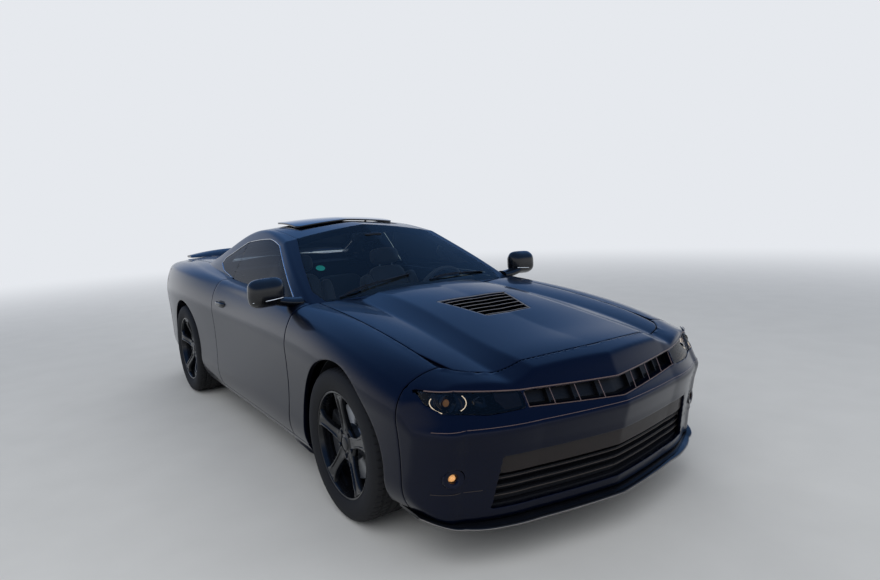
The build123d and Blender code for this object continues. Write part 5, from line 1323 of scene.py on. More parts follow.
def wheel_patch(width):
    """A five-spoke wheel about the origin, its outer face towards +Y: rim, spokes, hub, lug nuts and cap."""
    half = width / 2
    face = half - 18
    rim = [
        (-half + 15, 247), (-half + 14, 255), (-half + 16, 257), (-half + 24, 256.5), (face - 2, 256.5),
        (face + 3, 257), (face + 4, 254), (face + 2, 249), (face - 6, 246), (face - 30, 240), (0, 236),
        (-half + 30, 238), (-half + 15, 247),
    ]
    hub = [(52, 26.5), (52, 82), (72, 84), (80, 78), (81, 74), (78, 70), (77, 48), (80, 40), (82, 34)]
    hub += [(84, 31), (84, 0.5)]
    cap = [(83, 31), (86, 30), (88, 24), (89, 14), (89.5, 0.5)]
    parts = [revolved(rim, (0, 0, 0), 160), revolved(hub, (0, 0, 0), 96), revolved(cap, (0, 0, 0), 64)]
    for k in range(SPOKES):
        parts.append(spoke_patch(face, np.radians(90 + 360 / SPOKES * k)))
    for k in range(SPOKES):
        turn = np.radians(90 + 360 / SPOKES * (k + 0.5))
        middle = (60 * np.cos(turn), 0, 60 * np.sin(turn))
        nut = [(70, 10.5), (84, 10.5), (87, 8.5), (88, 5), (88, 0.5)]
        parts.append(revolved(nut, middle, 6))
        parts.append(revolved([(78, 15), (78.5, 15), (79, 12)], middle, 24))
    return joined(*parts)


def disc_patch():
    """A vented brake disc with its hat."""
    ring = [(3, 90), (3, 176), (4, 178), (15, 178), (15.5, 170), (18.5, 170), (19, 178), (30, 178)]
    hat = [(31, 176), (31, 92), (31, 92), (33, 88), (56, 84), (57, 27)]
    return joined(revolved(ring + hat, (0, 0, 0), 128))


def moved(patch, shift):
    """A patch at another place."""
    return patch[0] + np.array(shift, float), patch[1]


def build_wheels():
    """Tyres, wheels and discs on the four hubs."""
    for axle, x, width in (("front", FRONT_AXLE_X, 245.0), ("rear", REAR_AXLE_X, 275.0)):
        tyre, wheel, disc = tyre_patch(width), wheel_patch(width), disc_patch()
        for side, sign in (("left", 1), ("right", -1)):
            place = (x, sign * HALF_TRACK, TYRE_RADIUS)
            ride = f"wheel_{axle}_{side}"
            turned = [p if sign > 0 else mirror_patch(*p) for p in (tyre, wheel, disc)]
            for stem, patch, key, slot, nodes in (
                ("tyre", turned[0], "rubber", "tyre_rubber", [f"tyre_{axle}_{side}"]),
                ("rim", turned[1], "wheel", "wheel_paint", [f"wheel_{axle}_{side}"]),
                ("disc", turned[2], "steel", "steel", [f"wheel_{axle}_{side}"]),
            ):
                make_piece(f"{stem}_{axle}_{side}_dress", moved(patch, place), key, ride, slot, nodes, 32)


# Mirrors, lamps, grilles and trim


def shell(middle, half, power=(0.6, 0.6), counts=(48, 28)):
    """A closed form between a ball and a box: signed powers of the cosine and sine of two angles."""
    turn = full_turn(counts[0])[:, None]
    rise = np.linspace(-np.pi / 2, np.pi / 2, counts[1])[None, :]

    def bent(value, power):
        return np.sign(value) * np.abs(value) ** power

    flat = bent(np.cos(rise), power[1])
    x = half[0] * bent(np.cos(turn), power[0]) * flat
    y = half[1] * bent(np.sin(turn), power[0]) * flat
    z = half[2] * bent(np.sin(rise), power[1]) * np.ones_like(turn)
    points = np.stack([x, y, z], -1).reshape(-1, 3) + np.array(middle, float)
    return points, grid_faces(*counts, close_rows=True)


def turned(patch, degrees, pivot):
    """A patch turned about a line along Y through the pivot, its top backwards for positive degrees."""
    points = patch[0] - np.array(pivot, float)
    c, s = np.cos(np.radians(degrees)), np.sin(np.radians(degrees))
    x = points[:, 0] * c - points[:, 2] * s
    z = points[:, 0] * s + points[:, 2] * c
    return np.stack([x, points[:, 1], z], -1) + np.array(pivot, float), patch[1]


def end_sheet(place, outline, cell, hem, depth, tail=False):
    """A sheet at the distance along X that place gives, inside an outline seen from the front."""
    low, high = outline.min(0) - 5, outline.max(0) + 5
    spans = [covering(low[k], high[k], cell) for k in (0, 1)]
    limits = [within("front", outline)]
    points, faces = trimmed_patch(lambda y, z: np.stack([place(y, z), y, z], -1), *spans, limits)
    return hemmed(points, flipped(faces) if tail else faces, hem, depth)


def nose_sheet(outline, inset, cell):
    """A sheet that follows the nose's form behind its skin."""
    return end_sheet(lambda y, z: front_x(y, z) - inset, outline, cell, 1.0, 4.0)


def tail_sheet(outline, inset):
    """A sheet that follows the tail's form behind its skin."""
    return end_sheet(lambda y, z: rear_x(y, z) + inset, outline, 6.0, 1.5, 6.0, True)


def nose_path(points, inset, count=40):
    """A path through points given as width and height, on the nose's form behind its skin by the inset."""
    points = np.array(points, float)
    length = np.r_[0, np.cumsum(np.hypot(*np.diff(points, axis=0).T))]
    at = np.linspace(0, length[-1], count)
    y, z = np.interp(at, length, points[:, 0]), np.interp(at, length, points[:, 1])
    return np.stack([front_x(y, z) - inset, y, z], -1)


def tube(path, radius, count=10, closed=False):
    """A round bar along a path."""
    return swept(path, ring_section(2 * radius, 2 * radius, count), closed)


def strip(path, width, height):
    """A flat bar with rounded corners along a path."""
    corner = min(width, height) * 0.3
    return swept(path, rounded_box(-width / 2, width / 2, -height / 2, height / 2, corner, 3))


def pair(stem, patch, body, key, slot, nodes=(), orient=True):
    """A left piece and its mirror image, each on its own side's body if the body's name ends so."""
    for side in ("left", "right"):
        here = patch if side == "left" else mirror_patch(*patch)
        ride = body.format(side=side)
        names = [n.format(side=side) for n in nodes]
        make_piece(f"{stem}_{side}", here, key, ride, slot, names, orient=orient)


def build_mirrors():
    """Door mirrors: a rounded cap on an arm, its glass and a thin light strip."""
    middle, half = (716, 944, 1024), (54, 103, 80)
    cap = shell(middle, half, (0.5, 0.55), (64, 32))
    points = cap[0]
    forward = (points[:, 0] - middle[0]) / half[0]
    points[:, 2] += -6 * (points[:, 1] - middle[1]) / half[1] * 0.6
    points[:, 1] -= np.clip(forward, 0, 1) * (points[:, 1] - middle[1]) * 0.22
    points[:, 2] -= np.clip(forward, 0, 1) * (points[:, 2] - middle[2]) * 0.3
    t = np.linspace(0, 1, 18)
    arm_path = np.stack([718 + 0 * t, 752 + 138 * t, 952 + 22 * t**2], -1)
    arm = swept(arm_path, ring_section(104, 56, 24))
    pair("mirror_cap", joined(cap, arm), "door_{side}", "gloss", "gloss_black", ["mirror_{side}"])
    glass = lathe_outline(rounded_box(858, 1030, 962, 1086, 38), 661.5, 663.5)
    pair("mirror_glass", glass, "door_{side}", "bright", "gloss_black")
    y = np.linspace(868, 1034, 24)
    bar = np.stack([769 - 30 * ((y - 930) / 104) ** 2, y, 988 - 10 * ((y - 930) / 104)], -1)
    pair("mirror_strip", strip(bar, 3.0, 2.4), "door_{side}", "glow", "lamp_housing")


def front_at(y, z):
    """Where the nose's form lies at one place."""
    return float(front_x(np.array(y), np.array(z)))


def lamp_part(stem, profile, at, place, segments, key):
    """A round part of both lamps from its profile, given from the nose's form at a place."""
    profile = np.array(profile, float) + [front_at(*at), 0]
    pair(stem, axis_x(profile, *place, segments), "car", key, "lamp_housing")


def build_headlamps():
    """Each headlamp: lens, two lit arcs round the projector, projector, turn reflector and inner panel."""
    lens = nose_sheet(LAMP_OUTLINE, 3.5, 7.0)
    pair("headlamp_lens", lens, "car", "lens", "window_glass", orient=False)
    halo = []
    for sign in (1, -1):
        turn = np.radians(np.linspace(-56, 30, 36))
        y = LAMP_EYE[0] + sign * 64 * np.cos(turn)
        z = LAMP_EYE[1] + 40 * np.sin(turn) + 5
        halo.append(tube(np.stack([front_x(y, z) - 12, y, z], -1), 1.7))
    pair("halo_arcs", joined(*halo), "car", "halo", "lamp_housing")
    for stem, profile, segments, key in (
        ("projector_bowl", [(-46, 44), (-26, 40), (-20, 36), (-22, 33), (-34, 24)], 48, "gloss"),
        ("projector_lens", [(-36, 22), (-30, 20), (-24, 15), (-20, 8), (-19, 0.4)], 40, "lens"),
        ("projector_core", [(-38, 15), (-33, 13), (-30, 6), (-29, 0.4)], 32, "amber"),
    ):
        lamp_part(stem, profile, LAMP_EYE, LAMP_EYE, segments, key)
    reflector = [(-48, 27), (-22, 26), (-19, 23), (-24, 20), (-40, 6), (-41, 0.4)]
    lamp_part("turn_reflector", reflector, (640.0, 686.0), (655, 686), 40, "gloss")
    inner = np.array([(486, 656), (560, 652), (590, 690), (588, 716), (486, 706)], float)
    pair("lamp_inner_panel", nose_sheet(inner, 16, 7.0), "car", "bronze", "lamp_housing", orient=False)


def build_grilles():
    """The upper grille's outline and bars as painted highlight lines over a dark sheet of painted shade,
    painted highlights along the nose's lip and crease and on the lower grille's bars, and the band, whose
    warm brown is partly a painted reflection.
    """
    # Strips along the upper grille's outline and bars, in a warm painted highlight
    lines = [
        strip(nose_path([(-470, 651), (0, 621), (470, 651)], 2.5, 60), 5.0, 3.4),
        strip(nose_path([(-470, 711), (0, 693), (470, 711)], 5.0, 60), 3.0, 2.4),
    ]
    for y in (100, 225, 345, 465):
        for sign in (1, -1):
            z0 = np.interp(y, [0, 470], [620, 650])
            z1 = np.interp(y, [0, 470], [694, 712])
            lines.append(strip(nose_path([(sign * y, z0), (sign * (y + 4), z1)], 6.0, 8), 4.0, 2.4))
    make_piece("grille_painted_highlights", joined(*lines), "lip_highlight", "car", "lamp_housing")
    # Strips along the lip over the grille and along the bumper's crease: painted highlights
    lip_highlight = [(-836, 750), (-660, 733), (-480, 717), (0, 699), (480, 717), (660, 733), (836, 750)]
    lip_highlight = strip(nose_path(lip_highlight, -0.6, 120), 2.0, 5.0)
    crease = strip(nose_path([(-850, 600), (0, 600), (850, 600)], -0.4, 120), 2.0, 2.6)
    make_piece("nose_lip_painted_highlights", joined(lip_highlight, crease), "lip_highlight", "car", "body_paint")
    # A dark sheet behind the grille's openings: painted shade
    dark = nose_sheet(GRILLE_OUTLINE * [1.015, 1], 60, 12.0)
    make_piece("grille_painted_shade", dark, "mesh", "car", "black_plastic", smooth=45, orient=False)
    # Strips along the lower grille's bars, in a dull painted highlight
    bars = []
    for z in (366.5, 328.5, 290.5):
        bars.append(strip(nose_path([(-612, z), (0, z), (612, z)], 22.5, 70), 2.4, 3.6))
    make_piece("lower_bar_painted_highlights", joined(*bars), "slat_highlight", "car", "lamp_housing")
    # The band's warm brown is partly a painted reflection
    band = np.array([(-604, 392), (604, 392), (591, 468), (-591, 468)], float)
    band = nose_sheet(band, 12.0, 10.0)
    make_piece("lower_band", band, "band", "car", "black_plastic", smooth=45, orient=False)


def build_fog_lamps():
    """Each fog lamp's ring and glow, sheared to the nose's sweep, and the fine line under it, a painted
    highlight.
    """
    y, z = FOG_MIDDLE
    for stem, profile, segments, key in (
        ("fog_ring", [(-26, 41), (-6, 41), (-3, 39), (-4, 24), (-7, 20), (-24, 17)], 56, "paint"),
        ("fog_light", [(-24, 16), (-18, 14), (-14, 8), (-13, 0.4)], 36, "warm"),
    ):
        profile = np.array(profile, float) + [front_at(y, z), 0]
        pair(stem, lean(axis_x(profile, y, z, segments), y), "car", key, "lamp_housing")
    # The fine line under the lamp: a painted highlight
    line = nose_path([(664, 334), (846, 334)], -0.6, 24)
    pair("fog_painted_highlight_line", strip(line, 1.6, 2.2), "car", "slat_highlight", "lamp_housing")


def build_nose():
    """Lamps, grilles and the fine bright lines of the nose."""
    build_headlamps()
    build_grilles()
    build_fog_lamps()


def axis_x(profile, y, z, segments):
    """A profile of (distance along X, radius) carried round an axis along X."""
    points, faces = revolved(profile, (0, 0, 0), segments)
    return np.stack([points[:, 1], points[:, 0] + y, points[:, 2] + z], -1), flipped(faces)


def lean(patch, middle_y):
    """A patch sheared to follow the nose's sweep at a width."""
    after, before = (setback(np.array(middle_y + step), FRONT_ARCS) for step in (5, -5))
    slope = float(after - before) / 10
    points = patch[0].copy()
    points[:, 0] -= slope * (points[:, 1] - middle_y)
    return points, patch[1]


def build_splitter():
    """The splitter: a thin blade that follows the chin, its ends turned up into the bumper's corners."""
    y = np.linspace(-872, 872, 160)
    share = np.clip((np.abs(y) - 640) / 232, 0, 1)
    front = 2392 - setback(y, FRONT_ARCS) - 30 * share**2
    rise = 46 * share**2.2
    section = ((0, 0), (3, 7), (14, 12), (70, 15), (150, 18), (150, 1), (70, -4), (14, -6), (3, -4))
    rows = []
    for back, height in section:
        rows.append(np.stack([front - back, y, 176 + rise + height * (1 - 0.3 * share)], -1))
    grid = np.stack(rows, 1)
    blade = grid.reshape(-1, 3), capped_faces(len(y), len(rows))
    make_piece("splitter_blade", blade, "gloss", "car", "gloss_black", ["splitter"])
    # A pale strip along the blade's front edge: a painted highlight
    edge = np.stack([front - 1.0, y, 178 + rise], -1)
    make_piece("splitter_painted_highlight", strip(edge, 2.4, 3.0), "edge", "car", "lamp_housing")


def lies_at(surface, shares, count, x, other, above):
    """How high a surface lies at a place seen from above, or how far out at a place seen from the side."""
    x, other = np.broadcast_arrays(np.asarray(x, float), np.asarray(other, float))
    grid = np.broadcast_to(x[:, None], (len(x), count))
    curve = surface(grid, np.broadcast_to(np.linspace(*shares, count), grid.shape))
    if above:
        return np.array([np.interp(y, row[::-1, 1], row[::-1, 2]) for y, row in zip(np.abs(other), curve)])
    return np.array([np.interp(z, row[:, 2], row[:, 1]) for z, row in zip(other, curve)])


def side_y(x, z):
    """How far out the cabin's side lies."""
    return lies_at(cabin_surface, (0, 0.62), 240, x, z, False)


def body_y(x, z):
    """How far out the lower body's side lies."""
    return lies_at(body_surface, (0, 0.5), 260, x, z, False)


def body_z(x, y):
    """How high the lower body's top lies."""
    return lies_at(body_surface, (0.45, 1.0), 260, x, y, True)


def screen_z(x, y):
    """How high the windshield or roof lies."""
    return lies_at(cabin_surface, (0.3, 1.0), 260, x, y, True)


def resampled(points, count, closed=False):
    """Evenly spaced points along a run of points."""
    points = np.asarray(points, float)
    if closed:
        points = np.vstack([points, points[:1]])
    length = np.r_[0, np.cumsum(np.linalg.norm(np.diff(points, axis=0), axis=1))]
    at = np.linspace(0, length[-1], count, endpoint=not closed)
    return np.stack([np.interp(at, length, points[:, k]) for k in range(points.shape[1])], -1)


def build_window_trims():
    """Bright strips round the door's and the quarter's windows."""
    seen = resampled(WINDOW_OUTLINE, 260, True)
    out = seen - np.array([-200.0, 1100.0])
    seen = seen + unit(out) * 4.0
    front = seen[:, 0] > -598
    for stem, keep, ride in (("door_trim", front, "door_{side}"), ("quarter_trim", ~front, "car")):
        start = np.flatnonzero(keep & ~np.roll(keep, 1))[0]
        order = np.roll(np.arange(len(seen)), -start)
        path = seen[order][keep[order]]
        line = np.stack([path[:, 0], side_y(path[:, 0], path[:, 1]) + 0.6, path[:, 1]], -1)
        pair(stem, strip(line, 7.0, 5.0), ride, "bright", "steel")


def build_handles():
    """A pull handle on each door, over a shallow cup."""
    x = np.linspace(-318, -498, 30)
    z = 838 + 2 * np.sin(np.linspace(0, np.pi, 30))
    grip = np.stack([x, body_y(x, z) + 17 - 20 * np.abs(np.linspace(-1, 1, 30)) ** 4, z], -1)
    pair("door_handle", swept(grip, ring_section(13, 26, 14)), "door_{side}", "gloss", "gloss_black")

    def cup(u, v):
        return np.stack([u, body_y(u.ravel(), v.ravel()).reshape(u.shape) + 0.6, v], -1)

    edge = [within("side", rounded_box(-440, -322, 816, 862, 20))]
    points, faces = trimmed_patch(cup, covering(-443, -319, 8), covering(813, 865, 8), edge)
    pair("handle_cup", (points, flipped(faces)), "door_{side}", "plastic", "black_plastic", orient=False)


def build_vent():
    """The hood's vent: six slanted louvres with painted highlights along their edges over a dark tray, in a
    thin frame in the same pale painted highlight.
    """
    slats, edges = [], []
    for x in np.linspace(1372, 1627, 6):
        half = np.interp(x, [1340, 1660], [222, 138])
        y = np.linspace(-half, half, 40)
        lift = body_z(x, y)
        front = np.stack([x + 17 + 0 * y, y, lift - 4], -1)
        back = np.stack([x - 17 + 0 * y, y, lift - 22], -1)
        grid = np.stack([back, front, front - [0, 0, 3], back - [0, 0, 3]], 1)
        slats.append((grid.reshape(-1, 3), capped_faces(40, 4)))
        # A pale strip on each louvre's front edge: a painted highlight
        edges.append(strip(front, 3.0, 3.0))
    make_piece("hood_louvres", joined(*slats), "gloss", "hood", "gloss_black", ["hood_vent"])
    make_piece("louvre_painted_highlights", joined(*edges), "edge", "hood", "black_plastic")
    # The vent's frame, in the same pale painted highlight
    edge = resampled(VENT_OUTLINE, 200, True)
    inset = edge - np.array([1500, 0])
    edge = edge - unit(inset) * 2.0
    ring = np.stack([edge[:, 0], edge[:, 1], body_z(edge[:, 0], edge[:, 1]) - 3.5], -1)
    make_piece("vent_frame", tube(ring, 3.6, 8, True), "edge", "hood", "black_plastic")

    def floor(u, v):
        return np.stack([u, v, body_z(u.ravel(), v.ravel()).reshape(u.shape) - 26], -1)

    outline = np.array([(1655, 146), (1345, 229), (1345, -229), (1655, -146)], float)
    tray = trimmed_patch(floor, covering(1340, 1660, 16), covering(-235, 235, 16), [within("top", outline)])
    make_piece("vent_tray", tray, "mesh", "hood", "black_plastic", smooth=45, orient=False)


def build_wipers():
    """Two wipers, each an arm with a blade beside it, on the windshield's foot."""
    t = np.linspace(0, 1, 40)
    for name, foot, tip in (("wiper_left", (832, 70), (748, 560)), ("wiper_right", (826, -560), (758, -40))):
        x = foot[0] + (tip[0] - foot[0]) * t
        y = foot[1] + (tip[1] - foot[1]) * t
        blade_x = x - 16 * np.sin(np.pi * np.clip(t * 1.2, 0, 1)) - 8

        def resting(x):
            return np.maximum(screen_z(np.minimum(x, 884), y), body_z(x, y) - 6)

        arm = np.stack([x, y, resting(x) + 8 + 5 * np.sin(np.pi * t)], -1)
        blade = np.stack([blade_x, y, resting(blade_x) + 5], -1)[4:]
        wiper = joined(swept(arm, ring_section(12, 7, 10)), swept(blade, ring_section(9, 8, 8)))
        make_piece(name, wiper, "plastic", "car", "black_plastic")


def build_sunroof():
    """The raised glass panel on its two arms, and the plain round sticker behind the windshield."""
    turn = full_turn(48)
    rings = []
    for r in (0.01, 14, 28, 30):
        x = 500 + r * np.cos(turn)
        y = -520 + r * 0.9 * np.sin(turn)
        rings.append(np.stack([x, y, screen_z(x, y) - 1.2], -1))
    disc = np.vstack(rings), flipped(grid_faces(4, 48, close_cols=True))
    make_piece("round_sticker", disc, "sticker", "car", "body_paint", smooth=45, orient=False)

    def lifted(u, v):
        roof = screen_z(u.ravel(), v.ravel()).reshape(u.shape)
        return np.stack([u, v, roof + np.interp(u, [-545, -135], [26, 4]) + 11.5], -1)

    outline = rounded_box(-395, 395, -540, -140, 40)[:, ::-1]
    plate = trimmed_patch(lifted, covering(-545, -135, 12), covering(-400, 400, 12), [within("top", outline)])
    glass = hemmed(*plate, 2.5, 12.0)
    make_piece("sunroof_glass", glass, "roofglass", "car", "window_glass", ("sunroof_panel",), orient=False)
    arms = []
    for y in (-300, 300):
        run = np.array([(-470, y, 1330), (-440, y, 1348), (-400, y, 1366), (-360, y, 1378)], float)
        arms.append(swept(run, ring_section(16, 10, 12)))
    make_piece("sunroof_arms", joined(*arms), "plastic", "car", "black_plastic")


def build_trim():
    """Window trims, door handles, vent louvres, wipers, sunroof and the sticker."""
    build_window_trims()
    build_handles()
    build_vent()
    build_wipers()
    build_sunroof()


def pillow(middle, half, power, dents=(), tilt=0.0, pivot=None, crown=0.0, counts=(72, 40)):
    """A stuffed pad: a crowned closed form with sewn channels, each a soft dent across or along it.

    The crown lifts the face's middle. A dent is (axis, place, depth, width) in shares of the half size."""
    points, faces = shell((0, 0, 0), half, power, counts)
    unit = points / np.array(half, float)
    out = unit / np.maximum(np.linalg.norm(unit, axis=1, keepdims=True), 1e-6)
    swell = crown * np.clip(1 - unit[:, 0] ** 2, 0, 1) * np.clip(1 - unit[:, 1] ** 2, 0, 1)
    points[:, 2] += np.sign(unit[:, 2]) * swell * (unit[:, 2] > 0)
    for axis, place, depth, width in dents:
        near = np.exp(-(((unit[:, axis] - place) / width) ** 2))
        points -= out * (near * depth)[:, None]
    points = points + np.array(middle, float)
    patch = (points, faces)
    return turned(patch, tilt, pivot or middle) if tilt else patch


# How many degrees a front seat's cushion and back lean, and where along X the back turns
SEAT_TILT, BACK_TILT, BACK_PIVOT_X = -6, 19, -120


def channels(axis, places, depth, width):
    """Sewn channels across a pad, all alike."""
    return [(axis, place, depth, width) for place in places]


def upholstered(name, patch, nodes):
    """A cushion in leather."""
    make_piece(name, patch, "leather", "car", "seat_leather", nodes, 180)


def build_front_seat(side, y):
    """A front seat: cushion, back, headrest and bolsters on a frame, with a shell behind."""
    pivot = (BACK_PIVOT_X, y, 700)
    dents = channels(0, (-0.5, -0.2, 0.1, 0.4), 4.5, 0.05)
    seat = pillow((222, y, 432), (236, 168, 62), (0.42, 0.55), dents, SEAT_TILT, None, 10)
    dents = channels(2, (-0.6, -0.35, -0.1, 0.15, 0.4), 4.5, 0.035)
    back = pillow((-160, y, 735), (58, 165, 292), (0.5, 0.4), dents, BACK_TILT, pivot, 0)
    head = pillow((-268, y, 1078), (44, 122, 66), (0.6, 0.6), (), 12, None, 0)
    pads = [("seat_cushion", seat), ("seat_back", back), ("headrest", head)]
    for k, place in ((1, "outer"), (-1, "inner")):
        low = pillow((215, y + k * 200, 445), (225, 42, 76), (0.55, 0.6), (), SEAT_TILT)
        high = pillow((-150, y + k * 198, 715), (74, 42, 250), (0.6, 0.45), (), BACK_TILT, pivot)
        pads += [(f"seat_bolster_{place}", low), (f"back_bolster_{place}", high)]
    for stem, patch in pads:
        upholstered(f"{stem}_{side}", patch, [f"front_seat_{side}"] if stem == "seat_back" else [])
    posts = [tube(np.array([(-236, y + k * 55, 960), (-262, y + k * 55, 1040)], float), 6) for k in (1, -1)]
    base = lathe_outline(rounded_box(y - 190, y + 190, 240, 360, 18), -90, 390)
    behind = turned(shell((-190, y, 720), (44, 205, 285), (0.5, 0.4), (48, 24)), BACK_TILT, pivot)
    make_piece(f"headrest_posts_{side}", joined(*posts), "steel", "car", "steel")
    make_piece(f"seat_frame_{side}", joined(base, behind), "trim", "car", "cabin_trim")


def build_steering_wheel():
    """The steering wheel: rim, four spokes, hub and column, square to the column's slant."""
    middle = np.array([510.0, 370.0, 864.0])
    ahead = np.array([0.93, 0, -0.37])
    ahead /= np.linalg.norm(ahead)
    across = np.array([0, 1.0, 0])
    upwards = np.cross(ahead, across)
    turn = full_turn(72)
    ring = middle + 178 * (np.cos(turn)[:, None] * across + np.sin(turn)[:, None] * upwards)
    parts = [tube(ring, 14, 14, True)]
    for angle in np.radians((0, 180, 250, 290)):
        direction = np.cos(angle) * across + np.sin(angle) * upwards
        path = middle + ahead * 14 + np.outer(np.linspace(30, 176, 12), direction)
        parts.append(swept(path, ring_section(24, 12, 12)))
    hub = shell((0, 0, 0), (24, 68, 58), (0.7, 0.7), (40, 20))
    parts.append((hub[0] @ np.stack([ahead, across, upwards]) + middle + ahead * 12, hub[1]))
    parts.append(tube(middle + np.outer(np.linspace(20, 190, 6), ahead), 30, 20))
    wheel = joined(*parts)
    make_piece("steering_wheel_dress", wheel, "leather", "car", "cabin_trim", ["steering_wheel"], 50)


def build_cabin():
    """Seats, steering wheel, dashboard details, inner mirror and gear knob."""
    for side, sign in (("left", 1), ("right", -1)):
        build_front_seat(side, sign * 370.0)
    for side, sign in (("left", 1), ("right", -1)):
        y = sign * 350.0
        dents = channels(0, (-0.4, 0, 0.4), 4, 0.06)
        seat = pillow((-750, y, 408), (185, 225, 48), (0.4, 0.5), dents, -3, None, 12)
        upholstered(f"rear_cushion_{side}", seat, [])
        dents = channels(2, (-0.5, -0.1, 0.3), 4, 0.04)
        back = pillow((-1030, y, 655), (52, 225, 225), (0.5, 0.4), dents, 17, None, 0)
        upholstered(f"rear_back_{side}", back, ["rear_seat"] if side == "left" else [])
    build_steering_wheel()
    hood = shell((675, 370, 945), (52, 150, 34), (0.5, 0.6), (40, 20))
    screen = shell((652, 0, 880), (10, 95, 46), (0.3, 0.3), (40, 20))
    vents = [shell((650, y, 885), (8, 44, 34), (0.5, 0.5), (32, 16)) for y in (-600, 600, -160, 160)]
    make_piece("dash_details", joined(hood, screen, *vents), "gloss", "car", "cabin_trim")
    z, stalk_z, sensor_z = screen_z([160.0, 200.0, 215.0], 0.0)
    housing = shell((150, 0, z - 68), (14, 118, 34), (0.6, 0.5), (48, 20))
    stalk = tube(np.array([(150, 0, z - 60), (180, 0, z - 30), (200, 0, stalk_z - 9)]), 7)
    sensor = shell((215, 0, sensor_z - 24), (52, 70, 13), (0.5, 0.6), (40, 16))
    make_piece("inner_mirror", joined(housing, stalk, sensor), "plastic", "car", "cabin_trim")
    rod = tube(np.array([(190, 0, 555), (190, 0, 600)], float), 9)
    knob = joined(shell((190, 0, 610), (22, 22, 34), (0.8, 0.8), (32, 18)), rod)
    make_piece("gear_knob", knob, "gloss", "car", "cabin_trim")


def build_tail():
    """Tail lamps, exhaust tips, blank plate, spoiler and its light bar."""
    lenses, guides = [], []
    for y0, y1 in TAIL_LAMP_SPANS:
        lenses.append(tail_sheet(rounded_box(y0 + 4, y1 - 4, 774, 876, 19), 3.0))
        guides.append(tail_sheet(rounded_box(y0 + 26, y1 - 26, 796, 854, 14), 14))
    lamps = (("tail_lens", joined(*lenses), "redlens"), ("tail_guide", joined(*guides), "tail"))
    for side in ("left", "right"):
        for stem, patch, key in lamps:
            here = patch if side == "left" else mirror_patch(*patch)
            make_piece(f"{stem}_{side}", here, key, "car", "tail_lens", smooth=45, orient=False)
    tips = []
    for sign in (1, -1):
        y, z = sign * TIP_MIDDLE[0], TIP_MIDDLE[1]
        profile = [(-2399, 44), (-2404, 47), (-2406, 45), (-2404, 41), (-2385, 39.5), (-2290, 39.5)]
        tips.append(axis_x(profile, y, z, 56))
        tips.append(axis_x([(-2120, 46), (-2399, 46), (-2404, 47)], y, z, 56))
    make_piece("exhaust_tips", joined(*tips), "bright", "car", "steel", orient=False)
    plate = lathe_outline(rounded_box(-150, 150, 572, 724, 8), -2404.5, -2402.5)
    make_piece("blank_plate", plate, "plate", "car", "body_paint")
    half_span = 632
    y = np.linspace(-half_span, half_span, 120)
    bow = 1 - (np.abs(y) / half_span) ** 3
    section = [(-2246, 1062), (-2300, 1092), (-2360, 1108), (-2404, 1121), (-2415, 1121), (-2420, 1113)]
    section.append((-2400, 1062))
    rows = []
    for x, z in section:
        lift = np.interp(x, [-2420, -2246], [1.0, 0.15])
        rows.append(np.stack([np.full(len(y), x), y, 1060 + (z - 1060) * (1 - lift * (1 - bow) * 0.75)], -1))
    grid = np.stack(rows[::-1], 1)
    blade = grid.reshape(-1, 3), capped_faces(len(y), len(rows))
    make_piece("spoiler_blade", blade, "paint", "trunk_lid", "body_paint", ["spoiler"])
    lamp = lathe_outline(rounded_box(-140, 140, 1104, 1112, 3), -2421.5, -2419)
    make_piece("brake_light_bar", lamp, "tail", "trunk_lid", "tail_lens")


# The add-on: settings, one operator for each group of pieces, and the panel


class CoupeSettings(bpy.types.PropertyGroup):
    """What a user may set before the pieces are built."""

    paint_ground: bpy.props.FloatVectorProperty(
        name="Paint's ground",
        description="The paint's colour between its flakes",
        size=4,
        default=linear("#05070e"),
        min=0.0,
        max=1.0,
        subtype="COLOR",
    )
    paint_flake: bpy.props.FloatVectorProperty(
        name="Paint's flakes",
        description="The colour of the flakes in the paint",
        size=4,
        default=linear("#0c1530"),
        min=0.0,
        max=1.0,
        subtype="COLOR",
    )
    lacquer_roughness: bpy.props.FloatProperty(
        name="Lacquer roughness",
        description="How soft the mirror of the paint's lacquer is",
        default=0.015,
        min=0.0,
        max=1.0,
        subtype="FACTOR",
    )


class COUPE_OT_stage(bpy.types.Operator):
    """Makes the materials and builds the floor, the backdrop, the lights and the camera"""

    bl_idname = "coupe.stage"
    bl_label = "Build the stage"

    def execute(self, context):
        MATERIALS.update(make_materials())
        build_stage()
        return {"FINISHED"}


class COUPE_OT_panels(bpy.types.Operator):
    """Builds the painted panels"""

    bl_idname = "coupe.panels"
    bl_label = "Build the panels"

    def execute(self, context):
        build_panels()
        return {"FINISHED"}


class COUPE_OT_glass(bpy.types.Operator):
    """Builds the windows"""

    bl_idname = "coupe.glass"
    bl_label = "Build the windows"

    def execute(self, context):
        build_glass()
        return {"FINISHED"}


class COUPE_OT_wheels(bpy.types.Operator):
    """Builds the tyres, wheels and brake discs"""

    bl_idname = "coupe.wheels"
    bl_label = "Build the wheels"

    def execute(self, context):
        build_wheels()
        return {"FINISHED"}


class COUPE_OT_mirrors(bpy.types.Operator):
    """Builds the door mirrors"""

    bl_idname = "coupe.mirrors"
    bl_label = "Build the mirrors"

    def execute(self, context):
        build_mirrors()
        return {"FINISHED"}


class COUPE_OT_nose(bpy.types.Operator):
    """Builds the lamps, grilles and bright lines of the nose"""

    bl_idname = "coupe.nose"
    bl_label = "Build the nose"

    def execute(self, context):
        build_nose()
        return {"FINISHED"}


class COUPE_OT_splitter(bpy.types.Operator):
    """Builds the splitter"""

    bl_idname = "coupe.splitter"
    bl_label = "Build the splitter"

    def execute(self, context):
        build_splitter()
        return {"FINISHED"}


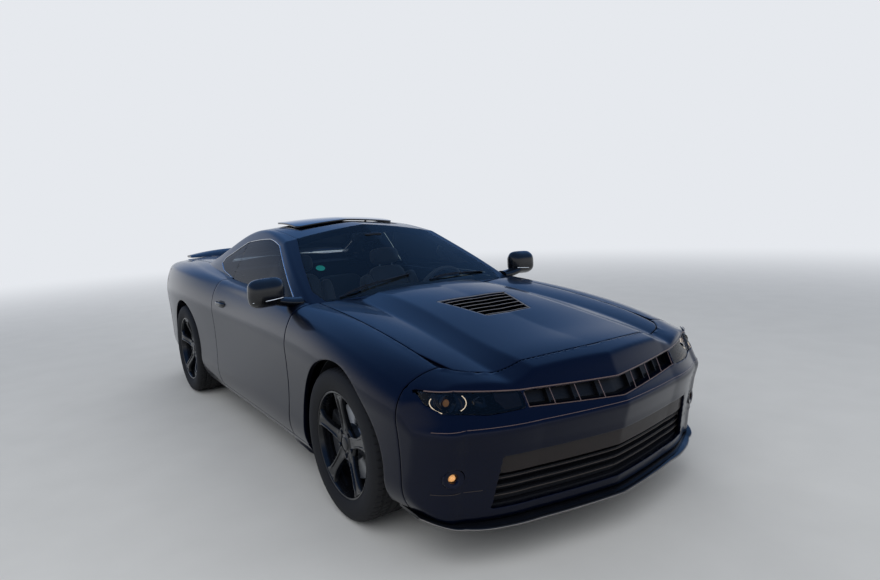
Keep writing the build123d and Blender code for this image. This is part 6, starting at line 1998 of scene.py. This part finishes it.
class COUPE_OT_trim(bpy.types.Operator):
    """Builds window trims, handles, wipers, louvres and the sunroof"""

    bl_idname = "coupe.trim"
    bl_label = "Build the trim"

    def execute(self, context):
        build_trim()
        return {"FINISHED"}


class COUPE_OT_cabin(bpy.types.Operator):
    """Builds the seats and the dashboard's details"""

    bl_idname = "coupe.cabin"
    bl_label = "Build the cabin"

    def execute(self, context):
        build_cabin()
        return {"FINISHED"}


class COUPE_OT_tail(bpy.types.Operator):
    """Builds the tail lamps, exhaust tips, plate and spoiler"""

    bl_idname = "coupe.tail"
    bl_label = "Build the tail"

    def execute(self, context):
        build_tail()
        return {"FINISHED"}


class COUPE_OT_finishes(bpy.types.Operator):
    """Gives the remaining CAD nodes their materials"""

    bl_idname = "coupe.finishes"
    bl_label = "Finish the CAD nodes"

    def execute(self, context):
        finish_nodes()
        return {"FINISHED"}


class COUPE_PT_dress(bpy.types.Panel):
    """The steps of the dress in the 3D view's sidebar"""

    bl_label = "Coupe"
    bl_idname = "COUPE_PT_dress"
    bl_space_type = "VIEW_3D"
    bl_region_type = "UI"
    bl_category = "Coupe"

    def draw(self, context):
        column = self.layout.column()
        for step in STEPS:
            column.operator(step.bl_idname)


STEPS = (
    COUPE_OT_stage,
    COUPE_OT_panels,
    COUPE_OT_glass,
    COUPE_OT_wheels,
    COUPE_OT_mirrors,
    COUPE_OT_nose,
    COUPE_OT_splitter,
    COUPE_OT_trim,
    COUPE_OT_cabin,
    COUPE_OT_tail,
    COUPE_OT_finishes,
)
CLASSES = (CoupeSettings,) + STEPS + (COUPE_PT_dress,)


def register():
    for cls in CLASSES:
        bpy.utils.register_class(cls)
    bpy.types.Scene.coupe = bpy.props.PointerProperty(type=CoupeSettings)


def unregister():
    del bpy.types.Scene.coupe
    for cls in reversed(CLASSES):
        bpy.utils.unregister_class(cls)


def main():
    """Registers the add-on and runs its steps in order."""
    register()
    for step in STEPS:
        group, name = step.bl_idname.split(".")
        getattr(getattr(bpy.ops, group), name)()


if __name__ == "__main__":
    main()
